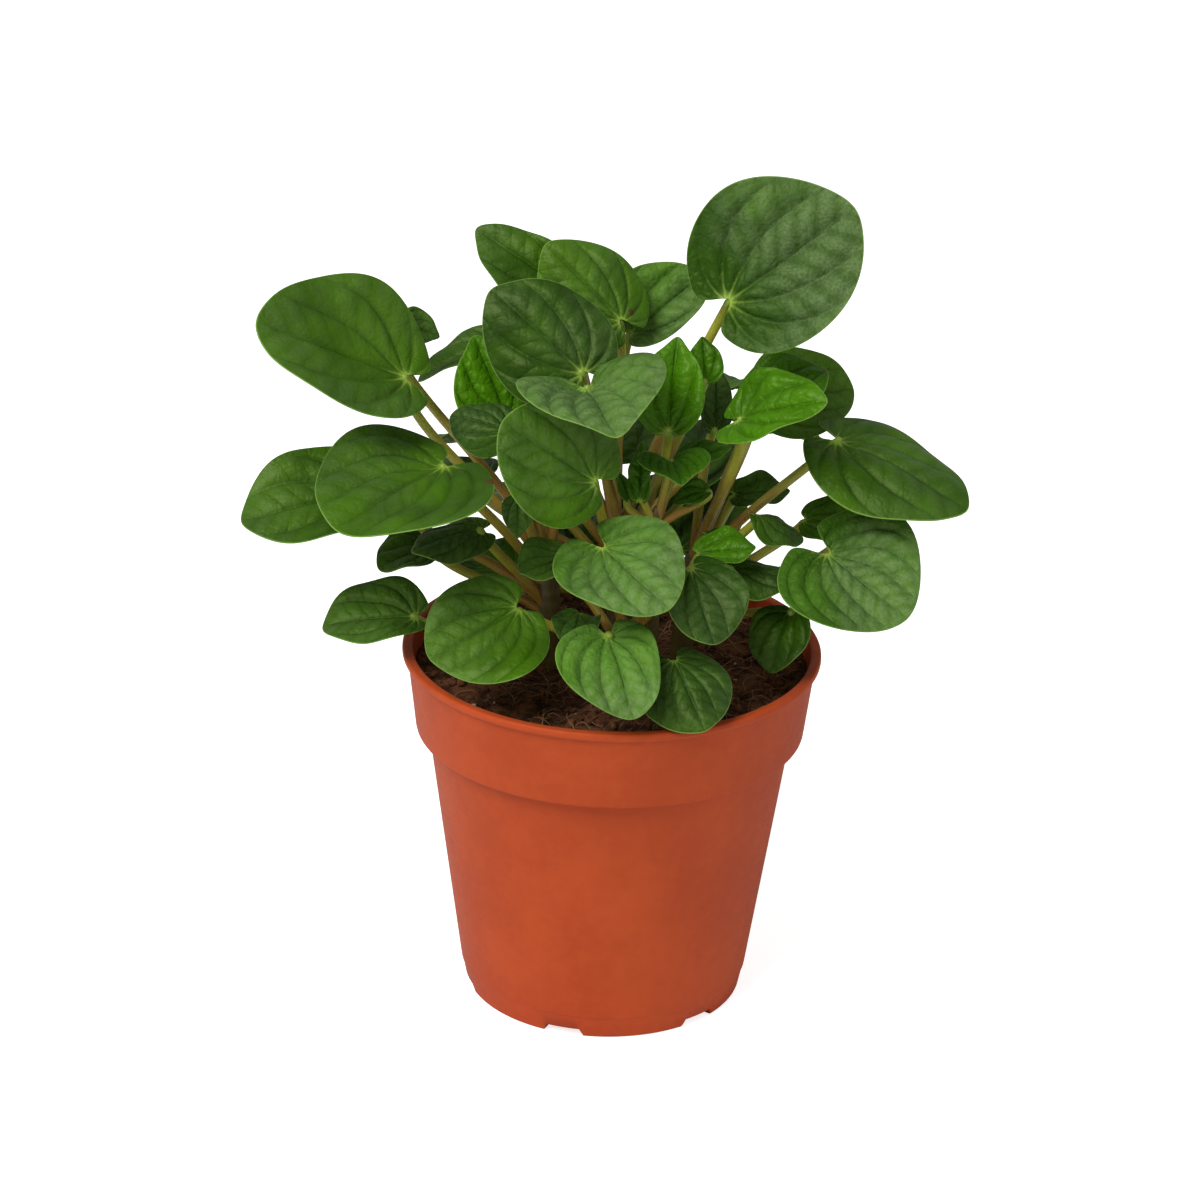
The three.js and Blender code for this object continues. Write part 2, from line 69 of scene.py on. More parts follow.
# How a blade is bent, as in the solid model. fold: degrees that each half rises from the midrib; cup:
# how far the edge rises; droop: how far the tip falls; wave: height of the waves along the edge; sinus
# and tip: depth of the notch at the base and length of the point, as shares of the blade's length;
# ovate: how much broader its base half is.
FORMS = {
    "round": dict(fold=5, cup=2.5, droop=2, wave=0.9, sinus=0.18, tip=0.02, ovate=0.08),
    "plain": dict(fold=5, cup=2, droop=2, wave=0.9, sinus=0.10, tip=0.05, ovate=0.0),
    "heart": dict(fold=8, cup=1.5, droop=4, wave=0.9, sinus=0.25, tip=0.05, ovate=0.14),
    "lobed": dict(fold=6, cup=1.5, droop=3, wave=0.9, sinus=0.32, tip=0.03, ovate=0.12),
    "folded": dict(fold=22, cup=-1, droop=2, wave=0.6, sinus=0.26, tip=0.08, ovate=0.14),
    "domed": dict(fold=-5, cup=-3, droop=5, wave=0.8, sinus=0.22, tip=0.04, ovate=0.12),
    "young": dict(fold=12, cup=1, droop=1.5, wave=0.5, sinus=0.08, tip=0.10, ovate=0.12),
}
# Every blade's edge. crowding: how much closer its points lie at the notch; tip_spread and notch_spread: how
# broad the point and the notch are, in radians; scallops and waves: their number; midrib: how softly the fold
# starts.
OUTLINE = dict(crowding=0.4, tip_spread=0.3, notch_spread=0.14, scallops=5, scallop_depth=0.012,
               waves=4, midrib=2)

# Each blade: its name, its stem, the point where its petiole joins it, the heading of its midrib (0 to the
# right, -90 to the front), the pitch of the midrib, the roll about it, its length, its width, the share by
# which its left half is the broader one, its form, its finish, and how light it is, from -1 to 1, which is
# partly its own green and partly painted shade and light.
LEAVES = [
    # top of the plant
    ("top_right", "centre", (26, 8, 182), 0, 40, -66, 39, 43, 0.06, "round", "frosty", -1.0),
    ("top_left", "back", (-14, 36, 173), 165, 34, 40, 28, 21, 0.2, "heart", "mature", -0.1),
    ("top_centre", "back", (0, 24, 170), 165, 45, 50, 27, 26, 0, "domed", "mature", 0.4),
    ("top_centre_right", "back", (2, 34, 163), 15, 38, -50, 25, 20, 0.2, "plain", "frosty", 0.3),
    ("upper_left", "left", (-52, 0, 163), -166, 26, 33, 41, 41, -0.08, "round", "mature", 0.3),
    ("upper_centre", "left", (-9, 6, 163), 165, 40, 55, 31, 31, 0, "domed", "mature", -0.9),
    ("bright_left", "left", (-27, 14, 146), 140, 60, 30, 24, 24, 0, "young", "young", 0.4),
    ("edge_left", "left", (-31, 34, 161), -165, -21, 0, 23, 16, 0, "folded", "mature", -0.6),
    ("tip_left", "left", (-55, 18, 170), -5, -10, -40, 11, 11, 0, "young", "mature", -0.3),
    # the heart-shaped leaves at the centre
    ("centre_heart", "centre", (-8, -10, 166), -75, 0, -8, 29, 37, 0, "folded", "frosty", 0.2),
    ("centre_left", "centre", (-5, -20, 145), -175, 35, 60, 28, 32, 0.1, "round", "mature", 0.2),
    ("young_tall", "centre", (12, -6, 153), 80, 65, 0, 24, 18, 0, "young", "young", 0.1),
    ("young_back", "centre", (21, 4, 162), 100, 70, 0, 12, 10, 0, "young", "young", -0.4),
    ("dark_centre", "right", (24, 17, 144), 80, 75, -20, 17, 9, 0, "young", "mature", -0.9),
    # the right side
    ("right_bright", "right", (29, -9, 158), -30, 29, -33, 25, 23, 0, "heart", "young", 0.5),
    ("right_upper", "right", (33, 8, 154), 8, 30, -20, 21, 23, 0, "round", "young", 0.3),
    ("right_dark", "right", (36, 24, 149), 8, 12, -40, 24, 27, 0, "round", "mature", 1.0),
    ("far_right", "right", (54, 3, 149), -23, -13, -11, 37, 36, 0, "domed", "mature", 0.0),
    ("right_front", "right", (52, -14, 125), -34, -21, -24, 26, 40, -0.03, "lobed", "frosty", -0.2),
    ("right_behind", "right", (47, 14, 122), -10, 0, -30, 15, 16, 0, "plain", "mature", 0.0),
    ("right_glossy", "right", (29, 14, 128), 5, 10, -25, 15, 12, 0, "plain", "mature", -0.6),
    ("right_pale", "right", (35, -3, 130), 0, -10, -8, 13, 13, 0, "domed", "mature", -0.4),
    ("right_small", "front", (20, -17, 125), -4, 16, -25, 15, 13, 0, "plain", "young", 0.2),
    ("right_ridged", "right", (28, -12, 120), -12, 6, -10, 17, 17, 0, "domed", "mature", -0.8),
    ("right_inner", "right", (22, -7, 126), 12, 24, -15, 8, 9, 0, "domed", "mature", -0.8),
    ("right_low", "right", (44, -12, 109), -118, -43, 0, 17, 17, 0, "plain", "mature", -0.8),
    # the left side
    ("left_middle", "left", (-42, -14, 146), -139, -11, 6, 35, 49, 0.06, "round", "mature", 0.2),
    ("far_left", "left", (-62, -2, 134), -163, -9, 25, 32, 31, 0, "round", "mature", -0.1),
    ("left_lower", "left", (-49, -8, 103), 180, -5, 22, 24, 23, 0, "round", "mature", -0.1),
    ("left_front", "front", (-23, -25, 113), -150, -18, 30, 26, 33, 0.18, "round", "mature", 0.4),
    ("left_under", "left", (-45, 5, 116), -152, -5, 10, 16, 17, 0, "plain", "mature", -0.3),
    ("left_dark", "left", (-33, -4, 125), -160, 0, 20, 18, 15, 0, "domed", "mature", -0.8),
    ("left_inner", "left", (-27, -1, 150), 165, 15, 40, 16, 16, 0, "domed", "mature", -0.9),
    ("left_hanging", "left", (-24, -6, 135), -90, -50, 0, 11, 9, 0, "young", "mature", -0.8),
    # the front
    ("front_right", "front", (18, -28, 126), -66, -36, 0, 21, 23, 0.05, "round", "mature", -0.9),
    ("front_centre", "front", (-3, -28, 131), -50, -12, -20, 26, 32, -0.05, "lobed", "frosty", 0.4),
    ("front_low", "front", (-1, -40, 114), -70, -32, -8, 24, 26, -0.22, "round", "frosty", 1.0),
    ("front_rim", "front", (15, -38, 106), -65, -24, -14, 20, 24, 0, "domed", "mature", -0.9),
    ("front_small", "front", (-12, -10, 120), -150, 0, 15, 13, 17, 0, "round", "mature", -0.1),
    ("front_dark", "front", (-8, -16, 108), -100, -5, 0, 13, 13, 0, "plain", "mature", -0.8),
    # the back
    ("back_high_left", "back", (-18, 40, 151), 110, -8, 0, 20, 24, 0, "plain", "mature", 0.2),
    ("back_high_right", "back", (17, 36, 149), 50, -8, 0, 28, 30, 0, "heart", "frosty", 0.0),
    ("back_top", "back", (-2, 34, 128), 92, 30, 0, 20, 26, 0, "plain", "frosty", -0.3),
    ("back_upper_left", "back", (-26, 30, 137), 128, -18, 0, 30, 27, 0, "plain", "mature", 0.1),
    ("back_right", "back", (30, 34, 140), 40, -18, 0, 28, 30, 0, "round", "mature", -0.2),
    ("back_left", "back", (-36, 28, 124), 150, -18, 0, 32, 32, 0, "round", "mature", 0.0),
    ("back_mid_right", "back", (18, 30, 125), 80, 18, 0, 28, 24, 0, "plain", "mature", -0.7),
    ("back_mid_left", "back", (-17, 30, 122), 116, -18, 0, 29, 30, 0, "heart", "mature", -0.3),
    ("back_far_right", "right", (61, 38, 114), 10, 6, 12, 29, 26, 0, "plain", "mature", 0.0),
    ("back_far_left", "back", (-28, 20, 103), 150, 10, 0, 16, 24, 0, "round", "mature", 0.2),
    ("back_low_right", "back", (16, 26, 107), 82, 38, 0, 27, 34, 0, "plain", "mature", -0.8),
    ("back_low_left", "back", (-10, 26, 105), 105, 20, 0, 22, 24, 0, "plain", "mature", -0.4),
]
LEAF_TERMS = ("name", "stem", "base", "heading", "pitch", "roll", "length", "width", "skew", "form",
              "finish", "tone")
LEAVES = [dict(zip(LEAF_TERMS, row)) for row in LEAVES]

# The young shoot in the middle, with its small leaves: the same terms as above, and no half broader.
SHOOT_LEAVES = [
    dict(base=(6, -10, 136), heading=100, pitch=76, roll=35, length=15, width=7, form="young", tone=-0.3),
    dict(base=(13, -9, 147), heading=-75, pitch=-2, roll=0, length=11, width=19, form="folded", tone=-0.2),
    dict(base=(15, 0, 143), heading=5, pitch=18, roll=-35, length=14, width=8, form="young", tone=-0.8),
    dict(base=(23, -4, 137), heading=-172, pitch=-12, roll=30, length=10, width=8, form="young", tone=-0.8),
    dict(base=(3, -6, 134), heading=115, pitch=50, roll=-20, length=9, width=7, form="young", tone=0.0),
]

# Short upright stems: where each one leaves the soil and where its crown of petioles ends.
STEMS = {
    "left": dict(foot=(-15, 3), crown=(-17, 4, 116)),
    "right": dict(foot=(17, 4), crown=(20, 5, 116)),
    "front": dict(foot=(2, -17), crown=(3, -18, 106)),
    "back": dict(foot=(0, 19), crown=(0, 21, 118)),
    "centre": dict(foot=(1, 1), crown=(2, 1, 128)),
}
SHOOT = dict(foot=(10, -8), crown=(10, -8, 134), leaving=0.9)
# Stems: how deep they root, how far they rise straight, where the lowest petiole leaves them and how far the
# others spread above it, as shares of their length, and the soil's level. Petioles: how deep they sink into
# the blade; then, as shares of their span, how far they keep to the straight way and how much they rise when
# they leave the stem, and how far behind and below the blade they come in.
STEM = dict(root=14, collar=4, lowest=0.55, spread=0.4, soil_level=86.5)
PETIOLE = dict(sink=0.8, bow=0.3, rise=0.1, behind=0.14, below=0.3)

# The veins of a blade, in shares of its length. angle: between neighbours where they leave the base;
# gather: how strongly they bend back towards the tip, and least: how much of the angle they keep; rungs:
# cross veins to one blade's length; slant: how far a cross vein leans outwards; stagger: how far it is off
# its neighbour's; panel_full and pleat_full: from where the swelling between the veins has its full height;
# the widths are those of the creases.
VEIN = dict(angle=0.66, gather=0.7, least=0.24, width=0.026, rungs=6.5, slant=1.2, stagger=0.37,
            cross_width=0.02, panel_full=0.6, panel_rise=1.3, pleat_full=0.3, pleat_rise=0.5)

# Dry brown spots: where each lies on its blade, as shares of the blade's length, and its radius.
DRY_SPOTS = {"left_middle": (-0.01, 0.5, 0.04), "top_centre": (0.0, -0.14, 0.03)}

# The pot's outline, in millimetres; the gaps between its feet, with the heading of the first one and how far
# their ends slant; and its drain holes.
POT = dict(wall=1.3, foot_radius=35, foot_height=6, wall_foot=36.2, wall_top=45.8, ledge=71,
           collar_foot=48.8, collar_top=51.2, lip_radius=52.5, lip_height=2.2, floor=4.6, floor_depth=1.6,
           ring_radius=31.8)
NOTCH = dict(count=6, first=-106, width=10.5, height=2.2, slant=1)
DRAIN = dict(count=6, radius=3.6, circle=24)


# ---------------------------------------------------------------- settings that a user would change

def colour_setting(name, description, *levels):
    return bpy.props.FloatVectorProperty(
        name=name, description=description, size=4, min=0, max=1, subtype="COLOR", default=paint(*levels))


def share_setting(name, description, value):
    return bpy.props.FloatProperty(
        name=name, description=description, default=value, min=0, max=1, subtype="FACTOR")


def length_setting(name, description, length):
    return bpy.props.FloatProperty(name=name, description=description, default=length, unit="LENGTH")


def count_setting(name, description, count, least=0):
    return bpy.props.IntProperty(name=name, description=description, default=count, min=least)


class PlantStageSettings(bpy.types.PropertyGroup):
    lens: bpy.props.FloatProperty(
        name="Lens", description="Focal length of the camera in millimetres", default=144.3, min=20)
    distance: length_setting("Distance", "From the camera to the plant", 1.2)
    elevation: bpy.props.FloatProperty(
        name="Elevation", description="How far above the horizontal the camera stands",
        default=math.radians(23.9), subtype="ANGLE")
    roll: bpy.props.FloatProperty(
        name="Roll", description="Turn of the camera about its own axis",
        default=math.radians(1.6), subtype="ANGLE")
    aim: bpy.props.FloatVectorProperty(
        name="Aim", description="The point that the camera looks at",
        default=(-3.3 * MM, 0, 104.9 * MM), subtype="TRANSLATION")
    key_power: bpy.props.FloatProperty(
        name="Key light", description="Power of the soft light at the upper left",
        default=24, subtype="POWER")
    fill_power: bpy.props.FloatProperty(
        name="Fill light", description="Power of the soft light at the right", default=1.5, subtype="POWER")
    sky: bpy.props.FloatProperty(
        name="Surroundings", description="Brightness of the white surroundings", default=0.3, min=0)
    floor_glow: bpy.props.FloatProperty(
        name="Floor glow", description="Light that the floor adds to what the camera sees of it",
        default=0.85, min=0)
    floor_colour: colour_setting("Floor", "Colour of the floor", 246, 246, 246)


class PlantPotSettings(bpy.types.PropertyGroup):
    colour: colour_setting("Colour", "Colour of the plastic", 202, 82, 34)
    shade: colour_setting("Shade", "Colour of its darker clouds", 190, 74, 30)
    segments: count_setting("Segments", "Faces round the pot", 240, 48)
    edge: length_setting("Edge", "Radius of its rounded edges", 0.4 * MM)


class PlantSoilSettings(bpy.types.PropertyGroup):
    dark: colour_setting("Dark peat", "Colour of the damp peat", 54, 32, 20)
    light: colour_setting("Dry peat", "Colour of the dry crumbs", 122, 78, 50)
    fibre: colour_setting("Fibre", "Colour of the coir fibres", 158, 116, 78)
    grain: colour_setting("Grain", "Colour of the white grains", 236, 230, 218)
    crumbs: count_setting("Crumbs", "Number of loose crumbs", 700)
    fibres: count_setting("Fibres", "Number of coir fibres", 340)
    specks: count_setting("Specks", "Number of white grains", 22)
    roughness: length_setting("Unevenness", "Height of its lumps", 1.3 * MM)
    seed: bpy.props.IntProperty(name="Seed", description="Start of the random draws", default=7)


class PlantPetioleSettings(bpy.types.PropertyGroup):
    radius: length_setting("Radius", "Radius of a petiole", 1.25 * MM)
    stem_radius: length_setting("Stem radius", "Radius of a stem at the soil", 3.0 * MM)
    shoot_radius: length_setting("Shoot radius", "Radius of the young shoot", 1.6 * MM)
    russet: colour_setting("Russet", "Colour at the foot", 158, 120, 40)
    yellow: colour_setting("Yellow-green", "Colour near the blade", 170, 174, 52)
    tip: colour_setting("Tip", "Colour where it joins the blade", 146, 172, 62)
    speckle: colour_setting("Speckle", "Colour of the fine specks", 140, 72, 34)
    bark: colour_setting("Bark", "Colour of the stems below the petioles", 96, 84, 36)


class PlantLeafSettings(bpy.types.PropertyGroup):
    thickness: length_setting("Thickness", "Thickness of a blade", 0.9 * MM)
    trim: length_setting("Trim", "How far the blade stays inside its solid's edge", 0.4 * MM)
    crease: length_setting("Crease", "Depth of the main veins", 0.4 * MM)
    swell: length_setting("Swell", "Height of the panels between the main veins", 1.9 * MM)
    pleat: length_setting("Pleats", "Height of the ridges between the cross veins", 0.3 * MM)
    turns: count_setting("Turns", "Points round the edge of a large blade", 148, 24)
    rings: count_setting("Rings", "Rings of points from the middle to the edge", 34, 6)
    margin: colour_setting("Margin", "Colour of the thin rim", 142, 180, 84)
    heart: colour_setting("Heart", "Colour where the petiole joins", 172, 206, 84)
    # the bloom's colour: partly the waxy bloom's own, partly painted sheen
    bloom_sheen_colour: colour_setting("Bloom", "Colour of the waxy bloom", 144, 168, 116)
    brown: colour_setting("Brown", "Colour of the dry spots", 84, 56, 26)


# The finishes of the blades: colours and shares, which finish_settings explains. The crease colour is
# painted shade in the creases, and the bloom is partly waxy bloom and partly painted sheen.
FINISHES = {
    "mature": dict(deep=(28, 62, 0), bright=(72, 116, 8), crease=(22, 48, 0), under=(96, 126, 58),
                   bloom=0.14, roughness=0.46, coat=0.05, relief=0.4, texture=0.4),
    "young": dict(deep=(38, 82, 0), bright=(80, 136, 6), crease=(24, 60, 0), under=(110, 148, 60),
                  bloom=0.0, roughness=0.42, coat=0.1, relief=0.75, texture=0.8),
    "frosty": dict(deep=(38, 74, 10), bright=(88, 136, 38), crease=(26, 58, 4), under=(100, 130, 66),
                   bloom=0.46, roughness=0.5, coat=0.02, relief=0.8, texture=0.7),
}


def finish_settings(finish, look):
    """The settings of one finish of the blades, which start at its row of FINISHES."""
    # The crease colour is painted shade in the creases, and the bloom is partly waxy bloom and partly painted
    # sheen.
    colours = {
        "deep": ("Deep", "Darker green of these blades"),
        "bright": ("Bright", "Lighter green of these blades"),
        "crease": ("Crease", "Green in their creases"),
        "under": ("Underside", "Green of their undersides"),
    }
    shares = {
        "bloom": ("Bloom", "How much waxy bloom they carry"),
        "roughness": ("Roughness", "How matte they are"),
        "coat": ("Gloss", "Strength of their clear coat"),
        "relief": ("Relief", "How strongly they are puffed and pleated"),
        "texture": ("Texture", "How strongly their fine cells are puffed"),
    }
    settings = {key: colour_setting(*words, *look[key]) for key, words in colours.items()}
    settings.update({key: share_setting(*words, look[key]) for key, words in shares.items()})
    return type(f"Plant{finish.title()}Settings", (bpy.types.PropertyGroup,), {"__annotations__": settings})


SETTINGS = {
    "plant_stage": PlantStageSettings,
    "plant_pot": PlantPotSettings,
    "plant_soil": PlantSoilSettings,
    "plant_petiole": PlantPetioleSettings,
    "plant_leaf": PlantLeafSettings,
    **{"plant_" + finish: finish_settings(finish, look) for finish, look in FINISHES.items()},
}
SHEEN_TINT = (0.75, 1.0, 0.28, 1.0)         # the light that a blade's surface sends back is greenish


# ---------------------------------------------------------------- shader nodes

# Clouds: how much finer the second layer is, the share of the first, and where the mask starts and is full.
CLOUDS = dict(finer=9.0, broad=0.75, low=0.36, high=0.64)
# Grain: the scale of its coarse layer, as a share, and the heights between which its roughness changes.
GRAIN = dict(coarser=0.18, low=0.3, high=0.7)
# A blade's colouring; every scale is in waves to a metre. Green: how much lighter its tone, which is partly
# painted shade and light, and its clouds make it. Vein shade: how dark the painted shade in the creases of
# the
# main and the cross veins is, how wide next to their creases, and how it fades at the edge. Bloom and sheen:
# where its patches lie, which are partly waxy bloom and partly painted sheen, their drift to the tip, and the
# least of them between the fine specks and in the cross veins' creases, so that the pleats' ridges carry more
# painted sheen. Heart: the pale spot at the petiole and the veins that leave it. Under: how pale the veins
# are
# and how dark the clouds. Relief: scales and heights of its cells, wrinkles and pores.
GREEN = dict(tone=0.42, scale=75.0, low=0.22, high=0.72)
VEIN_SHADE = dict(main=0.3, cross=0.03, main_width=0.55, cross_width=0.6, edge_start=0.7, edge_least=0.2)
BLOOM_AND_SHEEN = dict(scale=34.0, drift=0.25, low=0.4, high=0.72, speckle_scale=1500.0, speckle_least=0.55, gully=0.45)
HEART = dict(vein_width=0.3, vein_reach=0.13, vein=0.45, spot=0.042)
RIM = dict(start=0.985, full=0.998, strength=0.7)
UNDER = dict(main=0.5, cross=0.4, cloud=0.35)
RELIEF = dict(cells=430.0, cushion=0.5, wrinkles=520.0, pores=1900.0, pore=0.22, cross=0.12, main=0.35)
# A petiole's skin: how its russet foot drifts into the yellow, its specks, and where the tip's colour starts
# and is full.
SKIN = dict(scale=120.0, drift=0.9, yellow_from=0.1, yellow=0.9, speck_scale=2300.0, specks=0.45, speckle=0.5,
            tip_from=0.9, tip=0.97)


class Net:
    """Short ways to add nodes to one node tree."""

    def __init__(self, tree):
        self.tree = tree

    def node(self, kind, **settings):
        made = self.tree.nodes.new(kind)
        for name, value in settings.items():
            setattr(made, name, value)
        return made

    def feed(self, socket, value):
        """Links a socket to another one, or sets its own value."""
        if isinstance(value, bpy.types.NodeSocket):
            self.tree.links.new(value, socket)
        else:
            socket.default_value = value

    def math(self, operation, *values, clamp=False):
        made = self.node("ShaderNodeMath", operation=operation, use_clamp=clamp)
        for socket, value in zip(made.inputs, values):
            self.feed(socket, value)
        return made.outputs[0]

    def plus(self, first, second, clamp=False):
        return self.math("ADD", first, second, clamp=clamp)

    def minus(self, first, second):
        return self.math("SUBTRACT", first, second)

    def times(self, first, *others):
        for other in others:
            first = self.math("MULTIPLY", first, other)
        return first

    def mix(self, share, first, second):
        made = self.node("ShaderNodeMix", data_type="RGBA")
        for socket, value in ((made.inputs[0], share), (made.inputs[6], first), (made.inputs[7], second)):
            self.feed(socket, value)
        return made.outputs[2]

    def ramp(self, value, low, high, start=0.0, end=1.0):
        """Start where value is low, end where it is high, and smooth between them."""
        made = self.node("ShaderNodeMapRange", interpolation_type="SMOOTHSTEP")
        for socket, number in zip(made.inputs, (value, low, high, start, end)):
            self.feed(socket, number)
        return made.outputs[0]

    def from_whole(self, value):
        """How far a value is from the nearest whole number."""
        return self.math("ABSOLUTE", self.minus(value, self.math("ROUND", value)))

    def bell(self, value, width):
        """1 where value is 0, and falling off over the width."""
        scaled = self.math("DIVIDE", value, width)
        return self.math("EXPONENT", self.times(scaled, scaled, -1))

    def noise(self, scale, detail=2.0, roughness=0.5):
        made = self.node("ShaderNodeTexNoise")
        self.feed(made.inputs["Vector"], self.place())
        self.feed(made.inputs["Scale"], scale)
        self.feed(made.inputs["Detail"], detail)
        self.feed(made.inputs["Roughness"], roughness)
        return made.outputs["Fac"]

    def place(self):
        """The point's place on the plant, in metres."""
        return self.node("ShaderNodeTexCoord").outputs["Object"]

    def attribute(self, name, output):
        return self.node("ShaderNodeAttribute", attribute_name=name).outputs[output]

    def group(self, tree, **values):
        made = self.node("ShaderNodeGroup", node_tree=tree)
        for name, value in values.items():
            self.feed(made.inputs[name.replace("_", " ")], value)
        return made.outputs


def new_group(name, inputs, outputs):
    """An empty shader group with named sockets, and what is needed to fill it."""
    tree = bpy.data.node_groups.new(name, "ShaderNodeTree")
    kinds = {"colour": "NodeSocketColor", "value": "NodeSocketFloat"}
    for label, kind in inputs.items():
        tree.interface.new_socket(label, in_out="INPUT", socket_type=kinds[kind])
    for label, kind in outputs.items():
        tree.interface.new_socket(label, in_out="OUTPUT", socket_type=kinds[kind])
    net = Net(tree)
    return net, net.node("NodeGroupInput").outputs, net.node("NodeGroupOutput").inputs


def shared_group(name, build):
    """The shader group of that name, built where it isn't there yet."""
    return bpy.data.node_groups.get(name) or build(name)


def cloud_group(name):
    """Two colours in soft clouds, with a finer layer over them."""
    net, given, result = new_group(
        name, {"First": "colour", "Second": "colour", "Scale": "value"},
        {"Colour": "colour", "Mask": "value"})
    broad = net.noise(given["Scale"], detail=3)
    fine = net.noise(net.times(given["Scale"], CLOUDS["finer"]), detail=2)
    layers = net.plus(net.times(broad, CLOUDS["broad"]), net.times(fine, 1 - CLOUDS["broad"]))
    mask = net.ramp(layers, CLOUDS["low"], CLOUDS["high"])
    net.feed(result["Colour"], net.mix(mask, given["First"], given["Second"]))
    net.feed(result["Mask"], mask)
    return net.tree


def grain_group(name):
    """Fine grain of a surface, as a height from 0 to 1."""
    net, given, result = new_group(name, {"Scale": "value", "Coarse share": "value"}, {"Height": "value"})
    fine = net.noise(given["Scale"], detail=3, roughness=0.6)
    coarse = net.noise(net.times(given["Scale"], GRAIN["coarser"]), detail=2)
    share = given["Coarse share"]
    height = net.plus(net.times(coarse, share), net.times(fine, net.minus(1.0, share)))
    net.feed(result["Height"], height)
    return net.tree


def speck_group(name):
    """Small scattered specks, as a mask."""
    net, given, result = new_group(name, {"Scale": "value", "Amount": "value"}, {"Mask": "value"})
    cells = net.node("ShaderNodeTexVoronoi")
    net.feed(cells.inputs["Vector"], net.place())
    net.feed(cells.inputs["Scale"], given["Scale"])
    chosen = net.math("LESS_THAN", cells.outputs["Color"], given["Amount"])
    dot = net.ramp(cells.outputs["Distance"], 0.42, 0.2)
    net.feed(result["Mask"], net.times(dot, chosen))
    return net.tree


